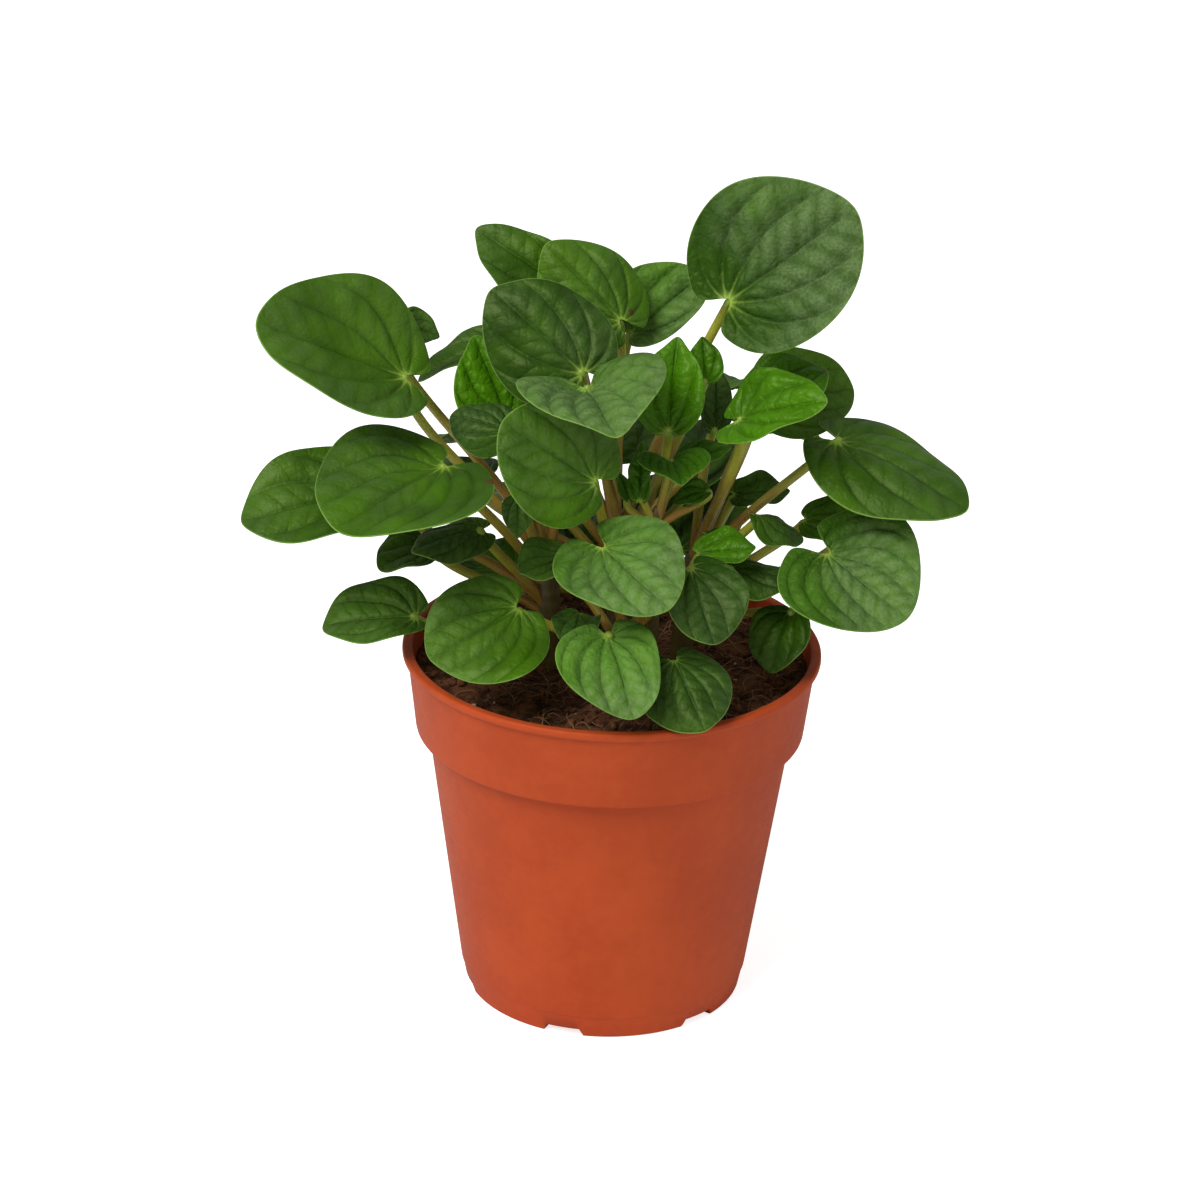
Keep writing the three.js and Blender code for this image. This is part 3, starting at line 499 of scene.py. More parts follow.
def leaf_group(name):
    """A blade's colour, with painted shade in its creases and partly painted sheen, its crease pattern and
    fine height, from where a point lies on the blade.
    """
    colours = ("Deep", "Bright", "Crease", "Under", "Margin", "Heart", "Bloom", "Brown")
    net, given, result = new_group(
        name, {**{label: "colour" for label in colours}, "Bloom share": "value", "Texture": "value"},
        {"Colour": "colour", "Height": "value", "Roughness shift": "value"})
    spot = net.node("ShaderNodeSeparateXYZ")
    net.feed(spot.inputs[0], net.attribute("blade", "Vector"))
    along, aside, share = spot.outputs
    under = net.attribute("under", "Fac")

    # the veins, by the same formula as the relief of the mesh
    far = net.math("SQRT", net.plus(net.times(along, along), net.times(aside, aside)))
    squeeze = net.math("MAXIMUM", net.minus(1.0, net.times(far, VEIN["gather"])), VEIN["least"])
    swing = net.math("ARCTAN2", net.math("ABSOLUTE", aside), along)
    sector = net.math("DIVIDE", net.math("DIVIDE", swing, squeeze), VEIN["angle"])
    gap = net.times(far, net.from_whole(sector), net.times(squeeze, VEIN["angle"]))
    main = net.bell(gap, VEIN["width"] * VEIN_SHADE["main_width"])
    rung = net.minus(net.times(far, VEIN["rungs"]), net.times(net.math("FRACT", sector), VEIN["slant"]))
    rung = net.plus(rung, net.times(net.math("FLOOR", sector), VEIN["stagger"]))
    rung = net.plus(rung, net.times(net.math("GREATER_THAN", aside, 0.0), 0.5))
    cross_gap = net.math("DIVIDE", net.from_whole(rung), VEIN["rungs"])
    cross = net.bell(cross_gap, VEIN["cross_width"] * VEIN_SHADE["cross_width"])

    # the green: its own clouds and its tone, which is partly painted shade and light
    cloud = net.noise(GREEN["scale"], detail=3)
    level = net.plus(net.times(net.attribute("tone", "Fac"), GREEN["tone"]),
                     net.ramp(cloud, 0.3, 0.7, GREEN["low"], GREEN["high"]), clamp=True)
    green = net.mix(level, given["Deep"], given["Bright"])
    # painted shade: the creases of the main and the cross veins are darkened
    edge_fade = net.ramp(share, VEIN_SHADE["edge_start"], 1.0, 1.0, VEIN_SHADE["edge_least"])
    lines = net.plus(net.times(main, VEIN_SHADE["main"]), net.times(cross, VEIN_SHADE["cross"]))
    crease = net.math("MULTIPLY", lines, edge_fade, clamp=True)
    green = net.mix(crease, green, given["Crease"])

    # bloom and sheen: pale broad soft patches, partly the waxy bloom and partly painted sheen, finely
    # speckled, and weaker in the cross veins' creases so that the pleats' ridges carry more painted sheen
    drift = net.plus(net.noise(BLOOM_AND_SHEEN["scale"], detail=2), net.times(along, BLOOM_AND_SHEEN["drift"]))
    patch = net.ramp(drift, BLOOM_AND_SHEEN["low"], BLOOM_AND_SHEEN["high"])
    fine_speckle = net.ramp(net.noise(BLOOM_AND_SHEEN["speckle_scale"], detail=2), 0.35, 0.7, BLOOM_AND_SHEEN["speckle_least"], 1.0)
    ridge = net.ramp(net.times(cross_gap, VEIN["rungs"]), 0.0, 0.4, BLOOM_AND_SHEEN["gully"], 1.0)
    bloom_and_sheen = net.times(patch, given["Bloom share"], fine_speckle, ridge)
    green = net.mix(bloom_and_sheen, green, given["Bloom"])

    # the paler vein where it leaves the petiole, the spot there and the rim
    fork = net.times(net.bell(gap, VEIN["width"] * HEART["vein_width"]), net.bell(far, HEART["vein_reach"]))
    green = net.mix(net.times(fork, HEART["vein"]), green, given["Heart"])
    green = net.mix(net.bell(far, HEART["spot"]), green, given["Heart"])
    rim = net.ramp(share, RIM["start"], RIM["full"])
    green = net.mix(net.times(rim, RIM["strength"]), green, given["Margin"])
    dry = net.ramp(net.plus(net.attribute("dry", "Fac"), net.times(fine_speckle, 0.1)), 0.5, 0.7)
    green = net.mix(dry, green, given["Brown"])

    below = net.mix(net.times(net.math("MAXIMUM", main, net.times(cross, UNDER["cross"])), UNDER["main"]),
                    given["Under"], given["Heart"])
    below = net.mix(net.ramp(cloud, 0.3, 0.7, 0.0, UNDER["cloud"]), below, given["Deep"])
    net.feed(result["Colour"], net.mix(under, green, below))

    # fine height: a net of small puffed cells, wrinkles and pores, and the sunken veins
    cells = net.node("ShaderNodeTexVoronoi", feature="DISTANCE_TO_EDGE")
    net.feed(cells.inputs["Vector"], net.place())
    net.feed(cells.inputs["Scale"], RELIEF["cells"])
    cushion = net.ramp(cells.outputs["Distance"], 0.0, 0.3)
    wrinkle = net.noise(RELIEF["wrinkles"], detail=3, roughness=0.6)
    puff = net.plus(net.times(cushion, RELIEF["cushion"]), wrinkle)
    pores = net.times(net.noise(RELIEF["pores"]), RELIEF["pore"])
    height = net.plus(net.times(puff, given["Texture"]), pores)
    height = net.minus(height, net.times(cross, RELIEF["cross"]))
    net.feed(result["Height"], net.minus(height, net.times(main, RELIEF["main"])))
    net.feed(result["Roughness shift"], net.plus(net.times(bloom_and_sheen, 0.25), net.times(under, 0.2)))
    return net.tree


# ---------------------------------------------------------------- materials

def new_material(name):
    """A material with only a Principled shader: its Net, and the shader's inputs."""
    material = bpy.data.materials.new(name)
    material.use_nodes = True
    shader = material.node_tree.nodes["Principled BSDF"]
    return material, Net(material.node_tree), shader.inputs


def add_bump(net, inputs, height, depth):
    """Raises the surface by up to depth, in metres, where height is 1."""
    bump = net.node("ShaderNodeBump")
    bump.inputs["Distance"].default_value = depth
    net.feed(bump.inputs["Height"], height)
    net.feed(inputs["Normal"], bump.outputs["Normal"])


def leaf_material(finish, settings):
    """The material of one finish of the blades."""
    name = finish + "_blade"
    if name in bpy.data.materials:
        return bpy.data.materials[name]
    look = getattr(bpy.context.scene, "plant_" + finish)
    material, net, inputs = new_material(name)
    # the crease colour is painted shade, and the bloom partly painted sheen
    surface = net.group(
        shared_group("leaf surface", leaf_group), Deep=look.deep, Bright=look.bright, Crease=look.crease,
        Under=look.under, Margin=settings.margin, Heart=settings.heart, Bloom=settings.bloom_sheen_colour,
        Brown=settings.brown, Bloom_share=look.bloom, Texture=look.texture)
    net.feed(inputs["Base Color"], surface["Colour"])
    net.feed(inputs["Roughness"], net.plus(surface["Roughness shift"], look.roughness))
    inputs["Coat Weight"].default_value = look.coat
    inputs["Coat Roughness"].default_value = 0.28
    inputs["Coat Tint"].default_value = SHEEN_TINT
    inputs["Specular Tint"].default_value = SHEEN_TINT
    inputs["Specular IOR Level"].default_value = 0.36
    add_bump(net, inputs, surface["Height"], 0.34 * MM)
    return material


def clouds(net, first, second, scale):
    return net.group(shared_group("soft clouds", cloud_group), First=first, Second=second, Scale=scale)


def grain(net, scale, coarse_share):
    return net.group(shared_group("grain", grain_group), Scale=scale, Coarse_share=coarse_share)["Height"]


def add_grain(net, inputs, height, smooth, matte, depth):
    """Lets the grain change the roughness, from smooth to matte, and raise the surface by up to depth."""
    net.feed(inputs["Roughness"], net.ramp(height, GRAIN["low"], GRAIN["high"], smooth, matte))
    add_bump(net, inputs, height, depth)


def pot_material(settings):
    material, net, inputs = new_material("pot_plastic")
    net.feed(inputs["Base Color"], clouds(net, settings.shade, settings.colour, 38.0)["Colour"])
    inputs["Specular IOR Level"].default_value = 0.2
    add_grain(net, inputs, grain(net, 2600.0, 0.25), 0.44, 0.6, 0.05 * MM)
    return material


def soil_material(settings):
    if "peat" in bpy.data.materials:
        return bpy.data.materials["peat"]
    material, net, inputs = new_material("peat")
    damp = clouds(net, settings.dark, settings.light, 260.0)["Colour"]
    dry = net.times(net.attribute("tone", "Fac"), 0.6)
    net.feed(inputs["Base Color"], net.mix(dry, damp, settings.light))
    inputs["Specular IOR Level"].default_value = 0.2
    add_grain(net, inputs, grain(net, 1500.0, 0.5), 0.75, 0.98, 0.7 * MM)
    return material


def fibre_material(settings):
    material, net, inputs = new_material("coir_fibre")
    cloud = clouds(net, settings.light, settings.fibre, 150.0)
    net.feed(inputs["Base Color"], cloud["Colour"])
    net.feed(inputs["Roughness"], net.ramp(cloud["Mask"], 0.0, 1.0, 0.6, 0.8))
    return material


def speck_material(settings):
    material, net, inputs = new_material("white_grain")
    net.feed(inputs["Base Color"], clouds(net, settings.fibre, settings.grain, 500.0)["Colour"])
    inputs["Roughness"].default_value = 0.85
    add_bump(net, inputs, grain(net, 2400.0, 0.4), 0.2 * MM)
    return material


def petiole_material(settings):
    if "petiole_skin" in bpy.data.materials:
        return bpy.data.materials["petiole_skin"]
    material, net, inputs = new_material("petiole_skin")
    along = net.attribute("along", "Fac")                # 0 at the foot, 1 at the blade and -1 on a stem
    drift = net.times(net.minus(net.noise(SKIN["scale"], detail=3), 0.5), SKIN["drift"])
    yellowing = net.ramp(net.plus(along, drift), SKIN["yellow_from"], SKIN["yellow"])
    colour = net.mix(yellowing, settings.russet, settings.yellow)
    specks = net.group(
        shared_group("specks", speck_group), Scale=SKIN["speck_scale"], Amount=SKIN["specks"])["Mask"]
    colour = net.mix(net.times(specks, SKIN["speckle"]), colour, settings.speckle)
    colour = net.mix(net.ramp(along, SKIN["tip_from"], SKIN["tip"]), colour, settings.tip)
    colour = net.mix(net.math("LESS_THAN", along, -0.5), colour, settings.bark)
    net.feed(inputs["Base Color"], colour)
    inputs["Coat Weight"].default_value = 0.08
    add_grain(net, inputs, grain(net, 2000.0, 0.4), 0.34, 0.5, 0.08 * MM)
    return material


def floor_material(colour, glow):
    material, net, inputs = new_material("floor")
    cloud = clouds(net, colour, colour, 2.0)
    net.feed(inputs["Base Color"], cloud["Colour"])
    inputs["Roughness"].default_value = 0.9
    inputs["Specular IOR Level"].default_value = 0.1
    net.feed(inputs["Emission Color"], cloud["Colour"])
    seen = net.node("ShaderNodeLightPath").outputs["Is Camera Ray"]
    net.feed(inputs["Emission Strength"], net.times(seen, glow))
    return material


# ---------------------------------------------------------------- meshes

# Rods: a direction that no rod follows, and the length of their pointed ends in radii.
TUBE = dict(askew=(0.31, 0.87, 0.39), point=0.5)


class Shell:
    """Points and faces gathered for one mesh, with a value or vector for each point."""

    def __init__(self):
        self.points, self.faces, self.marks, self.count = [], [], {}, 0

    def add(self, points, faces, **marks):
        """Adds points in metres, faces that number them from 0, and one mark of each kind for each point."""
        points = np.asarray(points, float).reshape(-1, 3)
        self.points.append(points)
        self.faces += [[self.count + i for i in face] for face in faces]
        for name, values in marks.items():
            values = np.asarray(values, float)
            self.marks.setdefault(name, []).append(np.broadcast_to(values, (len(points), *values.shape[1:])))
        self.count += len(points)

    def make(self, name, material):
        mesh = bpy.data.meshes.new(name)
        mesh.from_pydata(np.concatenate(self.points).tolist(), [], self.faces)
        for label, parts in self.marks.items():
            values = np.concatenate(parts)
            kind, field = ("FLOAT_VECTOR", "vector") if values.ndim == 2 else ("FLOAT", "value")
            attribute = mesh.attributes.new(label, kind, "POINT")
            attribute.data.foreach_set(field, values.astype(np.float32).ravel())
        mesh.shade_smooth()
        mesh.materials.append(material)
        mesh.validate()
        piece = bpy.data.objects.new(name, mesh)
        bpy.context.scene.collection.objects.link(piece)
        return piece


def quads(inner, outer, count, flip=False):
    """Faces between two closed rings of points; inner and outer are the numbers of their first points."""
    here = np.arange(count)
    after = (here + 1) % count
    loops = np.stack([inner + here, outer + here, outer + after, inner + after], axis=1)
    return (loops[:, ::-1] if flip else loops).tolist()


def fan(middle, ring, count, flip=False):
    """Faces between one point and a closed ring of points."""
    here = np.arange(count)
    after = (here + 1) % count
    loops = np.stack([np.full(count, middle), ring + here, ring + after], axis=1)
    return (loops[:, ::-1] if flip else loops).tolist()


def bezier(points, share):
    """The point of a cubic curve at each share of its way."""
    a, b, c, d = (np.asarray(point, float) for point in points)
    t = np.asarray(share, float)[..., None]
    return a * (1 - t) ** 3 + 3 * b * t * (1 - t) ** 2 + 3 * c * t * t * (1 - t) + d * t ** 3


def tube(path, radii, sides=12):
    """A closed round rod along a path, with pointed ends: its points, its faces and each point's share
    of the way."""
    path = np.asarray(path, float)
    radii = np.broadcast_to(np.asarray(radii, float), (len(path),))
    tangents = np.gradient(path, axis=0)
    tangents /= np.linalg.norm(tangents, axis=1)[:, None]
    side = np.cross(tangents[0], TUBE["askew"])
    turn = 2 * np.pi * np.arange(sides) / sides
    rings = []
    for centre, tangent, radius in zip(path, tangents, radii):
        side = side - tangent * side.dot(tangent)
        side /= np.linalg.norm(side)
        other = np.cross(tangent, side)
        rings.append(centre + radius * (np.cos(turn)[:, None] * side + np.sin(turn)[:, None] * other))
    first = path[0] - tangents[0] * radii[0] * TUBE["point"]
    last = path[-1] + tangents[-1] * radii[-1] * TUBE["point"]
    points = np.concatenate([first[None], *rings, last[None]])
    faces = fan(0, 1, sides, flip=True)
    for step in range(len(path) - 1):
        faces += quads(1 + step * sides, 1 + (step + 1) * sides, sides, flip=True)
    faces += fan(len(points) - 1, 1 + (len(path) - 1) * sides, sides)
    along = np.repeat(np.linspace(0, 1, len(path)), sides)
    return points, faces, np.concatenate([[0], along, [1]])


# ---------------------------------------------------------------- blades

# The relief of a blade beyond its bend. large: the length from which a blade has all its rings; typical: the
# length for which the heights are given; rim: width of its rounded edge in half thicknesses; thinning: how
# much thinner the edge is, and thin_from: from where; bows: steps of its rounding, in degrees; flat_from:
# where the relief starts to fade; the rest are heights and depths.
SHEET = dict(large=26, least_turns=48, least_rings=12, typical=30, rim=1.4, thinning=0.35, thin_from=0.8,
             flat_from=0.72, ripple=0.25, panel_level=0.3, tip_crease=1.3, cross_crease=0.25,
             edge_crease=0.15, under_crease=0.6, bows=(22.5, 45, 67.5, 90))
# The slow waves of a blade's face: how far a blade's length moves their start, the waves along and across it
# of the broad and of the narrow ones, and how high the narrow ones are.
RIPPLES = dict(start=1.7, broad=(7, 6), narrow=(9, 11), narrow_height=0.5)


def edge_points(leaf, turn, grow):
    """Points on a blade's edge about its middle, for turns of which 0 is the tip and pi the base."""
    form, length = FORMS[leaf["form"]], leaf["length"]
    reach = length * (1 - form["tip"] + form["sinus"]) / 2
    from_tip = np.abs(np.arctan2(np.sin(turn), np.cos(turn)))
    point = form["tip"] * length * np.exp(-((from_tip / OUTLINE["tip_spread"]) ** 2))
    notch = form["sinus"] * length * np.exp(-(((np.pi - from_tip) / OUTLINE["notch_spread"]) ** 2))
    ripple = 1 + OUTLINE["scallop_depth"] * form["wave"] * np.sin(OUTLINE["scallops"] * turn + length)
    broad = (1 - form["ovate"] * np.cos(turn)) * (1 + leaf.get("skew", 0) * np.sin(turn))
    x = reach * np.cos(turn) * ripple + point + notch
    y = leaf["width"] / 2 * np.sin(turn) * ripple * broad
    far = np.hypot(x, y)
    return x * (1 + grow / far), y * (1 + grow / far)


def bend(leaf, x, y):
    """Height of the bent blade over its flat outline, as in the solid model."""
    form, length = FORMS[leaf["form"]], leaf["length"]
    along, across = x / length, 2 * y / leaf["width"]
    out = np.hypot(2 * along - 1, across)
    folded = math.tan(math.radians(form["fold"])) * (np.hypot(y, OUTLINE["midrib"]) - OUTLINE["midrib"])
    wave_turn = OUTLINE["waves"] * np.arctan2(y, x - length / 2) + length
    waves = form["wave"] * np.sin(wave_turn) * np.minimum(out, 1) ** 2
    return folded + form["cup"] * across ** 2 - form["droop"] * np.maximum(along, 0) ** 2 + waves


def veins(u, v):
    """How near a point is to a main vein and to a cross vein, how far into the panel between main veins and
    how far up the pleat between cross veins, each from 0 to 1."""
    far = np.hypot(u, v)
    squeeze = np.maximum(1 - VEIN["gather"] * far, VEIN["least"])
    sector = np.arctan2(np.abs(v), u) / squeeze / VEIN["angle"]
    off = np.abs(sector - np.round(sector))
    main = np.exp(-((far * off * VEIN["angle"] * squeeze / VEIN["width"]) ** 2))
    rung = VEIN["rungs"] * far - VEIN["slant"] * (sector % 1)
    rung = rung + VEIN["stagger"] * np.floor(sector) + 0.5 * (v > 0)
    cross = np.exp(-((np.abs(rung - np.round(rung)) / VEIN["rungs"] / VEIN["cross_width"]) ** 2))
    between = np.sin(np.pi * off)
    panel = between * np.minimum(far / VEIN["panel_full"], 1) ** VEIN["panel_rise"]
    ridge = np.sin(np.pi * rung) ** 2 * between ** VEIN["pleat_rise"]
    pleat = ridge * np.minimum(far / VEIN["pleat_full"], 1)
    return main, cross, panel, pleat


def smoothstep(value, low, high):
    share = np.clip((value - low) / (high - low), 0, 1)
    return share * share * (3 - 2 * share)


def blade_matrix(leaf):
    """The blade's own axes: x along the midrib, y to its left, z out of its upper face."""
    turn = (Matrix.Rotation(math.radians(leaf["heading"]), 4, "Z")
            @ Matrix.Rotation(math.radians(-leaf["pitch"]), 4, "Y")
            @ Matrix.Rotation(math.radians(-leaf["roll"]), 4, "X"))
    return np.array(Matrix.Translation(Vector(leaf["base"])) @ turn)


def to_place(matrix, points):
    return points @ matrix[:3, :3].T + matrix[:3, 3]


def face_shares(mean_radius, half, rings):
    """The rings of a blade's face, as shares of the way to its edge, and half its thickness at each one."""
    margin = SHEET["rim"] * half / mean_radius
    flat = (1 - margin) * np.arange(rings + 1) / rings
    bows = np.radians(SHEET["bows"])
    shares = np.concatenate([flat, 1 - margin + margin * np.sin(bows)])[:, None]
    halves = np.concatenate([np.full(rings + 1, half), half * np.cos(bows)])[:, None]
    return shares, halves * (1 - SHEET["thinning"] * smoothstep(shares, SHEET["thin_from"], 1.0))


def face_ripple(leaf, u, v, scale):
    """Slow uneven waves of a blade's face, which start at another place on every blade."""
    start = leaf["length"] * RIPPLES["start"] + leaf["heading"]
    along, across = RIPPLES["broad"]
    broad = np.sin(along * u + start) * np.cos(across * v - start)
    along, across = RIPPLES["narrow"]
    narrow = np.sin(across * v + along * u + 2 * start)
    return SHEET["ripple"] * scale * (broad + RIPPLES["narrow_height"] * narrow)


def blade_heights(leaf, settings, relief, x, y, shares, halves):
    """Heights of a blade's upper and lower faces."""
    u, v = x / leaf["length"], y / leaf["length"]
    main, cross, panel, pleat = veins(u, v)
    fade = 1 - smoothstep(shares, SHEET["flat_from"], 1.0)
    scale = leaf["length"] / SHEET["typical"]
    lift = settings.swell * (panel - SHEET["panel_level"]) + settings.pleat * (pleat - 0.5)
    sheet = bend(leaf, x, y) + (relief * lift / MM * scale + face_ripple(leaf, u, v, scale)) * fade
    lines = main * (SHEET["tip_crease"] - u) + SHEET["cross_crease"] * relief * cross * (1 - main)
    least = SHEET["edge_crease"]
    crease = settings.crease / MM * lines * (least + (1 - least) * fade)
    upper = sheet + halves - crease * scale ** 0.5
    lower = sheet - halves - SHEET["under_crease"] * crease * scale ** 0.5 * (halves > 0.1)
    return upper, lower


def blade_faces(layers, count):
    """Faces of a blade: the upper side, then the lower one, which shares the rim's ring with it."""
    under = 1 + layers * count
    faces = fan(0, 1, count)
    for ring in range(layers - 1):
        faces += quads(1 + ring * count, 1 + (ring + 1) * count, count)
    faces += fan(under, under + 1, count, flip=True)
    for ring in range(layers - 2):
        faces += quads(under + 1 + ring * count, under + 1 + (ring + 1) * count, count, flip=True)
    faces += quads(under + 1 + (layers - 2) * count, 1 + (layers - 1) * count, count, flip=True)
    return faces


def add_blade(shell, leaf, settings, relief):
    """Adds one closed blade, with its creases, puffed panels and pleats."""
    form = FORMS[leaf["form"]]
    size = min(1, leaf["length"] / SHEET["large"])
    count = max(SHEET["least_turns"], int(settings.turns * size) // 4 * 4)
    rings = max(SHEET["least_rings"], int(settings.rings * size))
    turn = 2 * np.pi * np.arange(count) / count
    edge_x, edge_y = edge_points(leaf, turn + OUTLINE["crowding"] * np.sin(turn), -settings.trim / MM)
    middle = leaf["length"] * (1 - form["tip"] - form["sinus"]) / 2
    shares, halves = face_shares(np.mean(np.hypot(edge_x, edge_y)), settings.thickness / MM / 2, rings)
    x, y = middle + edge_x * shares, edge_y * shares
    upper, lower = blade_heights(leaf, settings, relief, x, y, shares, halves)

    layers = len(shares) - 1
    top = np.stack([x, y, upper], axis=-1)
    bottom = np.stack([x, y, lower], axis=-1)[1:layers]
    centre_top, centre_bottom = top[0, :1], np.array([[middle, 0, lower[0, 0]]])
    points = np.concatenate([centre_top, top[1:].reshape(-1, 3), centre_bottom, bottom.reshape(-1, 3)])
    mark = np.stack([x / leaf["length"], y / leaf["length"], np.broadcast_to(shares, x.shape)], axis=-1)
    marks = np.concatenate([mark[0, :1], mark[1:].reshape(-1, 3), mark[0, :1], mark[1:layers].reshape(-1, 3)])
    below = np.arange(len(points)) > layers * count
    spot_u, spot_v, spot_size = DRY_SPOTS.get(leaf.get("name"), (0, 0, 0))
    dry = np.hypot(marks[:, 0] - spot_u, marks[:, 1] - spot_v) < spot_size
    shell.add(to_place(blade_matrix(leaf), points) * MM, blade_faces(layers, count), blade=marks,
              under=below, tone=leaf["tone"], dry=dry)


# ---------------------------------------------------------------- stems and petioles

# Petioles: how much thicker at both ends, over which share of the way, and how much thinner along it; end:
# the last ring's width. Stems: how thick next to their solid, their knots, and where the dome starts.
ROD = dict(petiole_steps=26, foot_swell=0.22, foot_reach=0.12, taper=0.08, head_swell=0.1, head_reach=0.06,
           end=0.62, stem_steps=40, slim=0.93, knot=0.07, knots=7, dome_from=0.93, dome=0.075, shoot=0.8)


def stem_curve(stem):
    x, y = stem["foot"]
    collar = np.array([x, y, STEM["soil_level"] + STEM["collar"]], float)
    crown = np.array(stem["crown"], float)
    return [np.array([x, y, STEM["soil_level"] - STEM["root"]], float), collar, (collar + crown) / 2, crown]


def at_length(curve, share):
    """The point of a curve at a share of its length."""
    points = bezier(curve, np.linspace(0, 1, 201))
    lengths = np.concatenate([[0], np.cumsum(np.linalg.norm(np.diff(points, axis=0), axis=1))])
    return np.array([np.interp(share * lengths[-1], lengths, points[:, axis]) for axis in range(3)])


def petiole_curve(leaf, stem, share):
    """A petiole's path from its stem to the base of its blade."""
    matrix = blade_matrix(leaf)
    end = to_place(matrix, np.array([PETIOLE["sink"], 0, 0]))
    start = at_length(stem, share)
    span = np.linalg.norm(end - start)
    approach = to_place(matrix, np.array([-PETIOLE["behind"], 0, -PETIOLE["below"]]) * span)
    leave = start + (end - start) * PETIOLE["bow"] + np.array([0, 0, PETIOLE["rise"] * span])
    return [start, leave, approach, end]


def add_petiole(shell, curve, radius):
    """Adds a petiole, a little thicker at its foot and where it meets the blade."""
    way = np.linspace(0, 1, ROD["petiole_steps"])
    foot = ROD["foot_swell"] * np.exp(-((way / ROD["foot_reach"]) ** 2))
    head = ROD["head_swell"] * np.exp(-(((1 - way) / ROD["head_reach"]) ** 2))
    end = np.where(np.arange(len(way)) == len(way) - 1, ROD["end"], 1.0)
    width = (1 + foot - ROD["taper"] * way + head) * end
    points, faces, along = tube(bezier(curve, way) * MM, radius * width, sides=14)
    shell.add(points, faces, along=along)


def add_stem(shell, curve, radius):
    """Adds a stem with its knots, which ends in a dome."""
    way = np.linspace(0, 1, ROD["stem_steps"])
    knots = 1 + ROD["knot"] * np.cos(2 * np.pi * way * ROD["knots"]) ** 8
    into_dome = np.clip((way - ROD["dome_from"]) / ROD["dome"], 0, 1)
    dome = np.sqrt(np.clip(1 - into_dome ** 2, 0.02, 1))
    points, faces, _ = tube(bezier(curve, way) * MM, radius * ROD["slim"] * knots * dome, sides=18)
    shell.add(points, faces, along=-1.0)


def finish_piece(piece, slot, *nodes):
    """Hangs a piece on the root body and hides the solid parts that it stands for; its slot is not used."""
    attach(piece, "root")
    if nodes:
        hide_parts(*nodes)
    return piece


def build_petioles(settings):
    material = petiole_material(settings)
    for name, stem in STEMS.items():
        shell = Shell()
        curve = stem_curve(stem)
        add_stem(shell, curve, settings.stem_radius)
        leaves = [leaf for leaf in LEAVES if leaf["stem"] == name]
        order = sorted(leaves, key=lambda leaf: leaf["base"][2])
        for leaf in leaves:
            share = STEM["lowest"] + STEM["spread"] * order.index(leaf) / (len(leaves) - 1)
            add_petiole(shell, petiole_curve(leaf, curve, share), settings.radius)
        finish_piece(shell.make("petioles_" + name, material), "petiole", "stem_" + name)


def build_leaves(settings):
    for leaf in LEAVES:
        shell = Shell()
        look = getattr(bpy.context.scene, "plant_" + leaf["finish"])
        add_blade(shell, leaf, settings, look.relief)
        piece = shell.make("blade_" + leaf["name"], leaf_material(leaf["finish"], settings))
        finish_piece(piece, "leaf_" + leaf["finish"], "leaf_" + leaf["name"])


def build_shoot(petiole, leaf_settings, young):
    stalks, blades = Shell(), Shell()
    curve = stem_curve(SHOOT)
    add_stem(stalks, curve, petiole.shoot_radius)
    for leaf in SHOOT_LEAVES:
        add_petiole(stalks, petiole_curve(leaf, curve, SHOOT["leaving"]),
                    petiole.radius * ROD["shoot"])
        add_blade(blades, leaf, leaf_settings, young.relief)
    finish_piece(stalks.make("shoot_stalk", petiole_material(petiole)), "shoot")
    finish_piece(blades.make("shoot_blades", leaf_material("young", leaf_settings)), "shoot", "young_shoot")


# ---------------------------------------------------------------- pot

# The pot's finer edges. leg: how much longer than its rounding an edge is at least; apart: the least width of
# a face beside a corner, as a share; hub: radius at the middle of the floor; step: the small step under the
# wall; slope: how far the ring under the floor leans; ring: width of that ring where the gaps reach; lip: how
# far the lip's underside slants; over: how far the drain holes are drilled past the floor.
POT_FACES = dict(leg=2.2, apart=0.3, hub=0.01, step=0.25, slope=0.4, ring=2, lip=0.3, over=2)


def rounded(profile, radius, steps=4):
    """An outline of (radius, height) points with its corners rounded."""
    points = [np.array(profile[0], float)]
    for before, corner, after in zip(profile, profile[1:], profile[2:]):
        before, corner, after = (np.array(point, float) for point in (before, corner, after))
        back, on = before - corner, after - corner
        cut = min(radius, np.linalg.norm(back) / POT_FACES["leg"], np.linalg.norm(on) / POT_FACES["leg"])
        start, end = corner + back / np.linalg.norm(back) * cut, corner + on / np.linalg.norm(on) * cut
        for share in np.linspace(0, 1, steps + 1):
            points.append((1 - share) ** 2 * start + 2 * share * (1 - share) * corner + share ** 2 * end)
    points.append(np.array(profile[-1], float))
    return np.array(points)


def notch_height(turn):
    """How far the foot is cut away at an angle round the pot, with slanted ends."""
    step = 2 * np.pi / NOTCH["count"]
    from_notch = (turn - math.radians(NOTCH["first"]) + step / 2) % step - step / 2
    aside = np.abs(from_notch) * POT["foot_radius"]
    return NOTCH["height"] * np.clip((NOTCH["width"] / 2 - aside) / NOTCH["slant"], 0, 1)


def pot_angles(segments):
    """Angles round the pot, with one at each corner of each gap in the foot."""
    even = np.arange(segments) * 2 * np.pi / segments
    half = NOTCH["width"] / 2
    reaches = np.array([-half, NOTCH["slant"] - half, half - NOTCH["slant"], half]) / POT["foot_radius"]
    middles = math.radians(NOTCH["first"]) + 2 * np.pi * np.arange(NOTCH["count"]) / NOTCH["count"]
    corners = np.mod(middles[:, None] + reaches, 2 * np.pi).ravel()
    apart = np.abs(even[:, None] - corners).min(axis=1)
    return np.sort(np.concatenate([even[apart > POT_FACES["apart"] * even[1]], corners]))


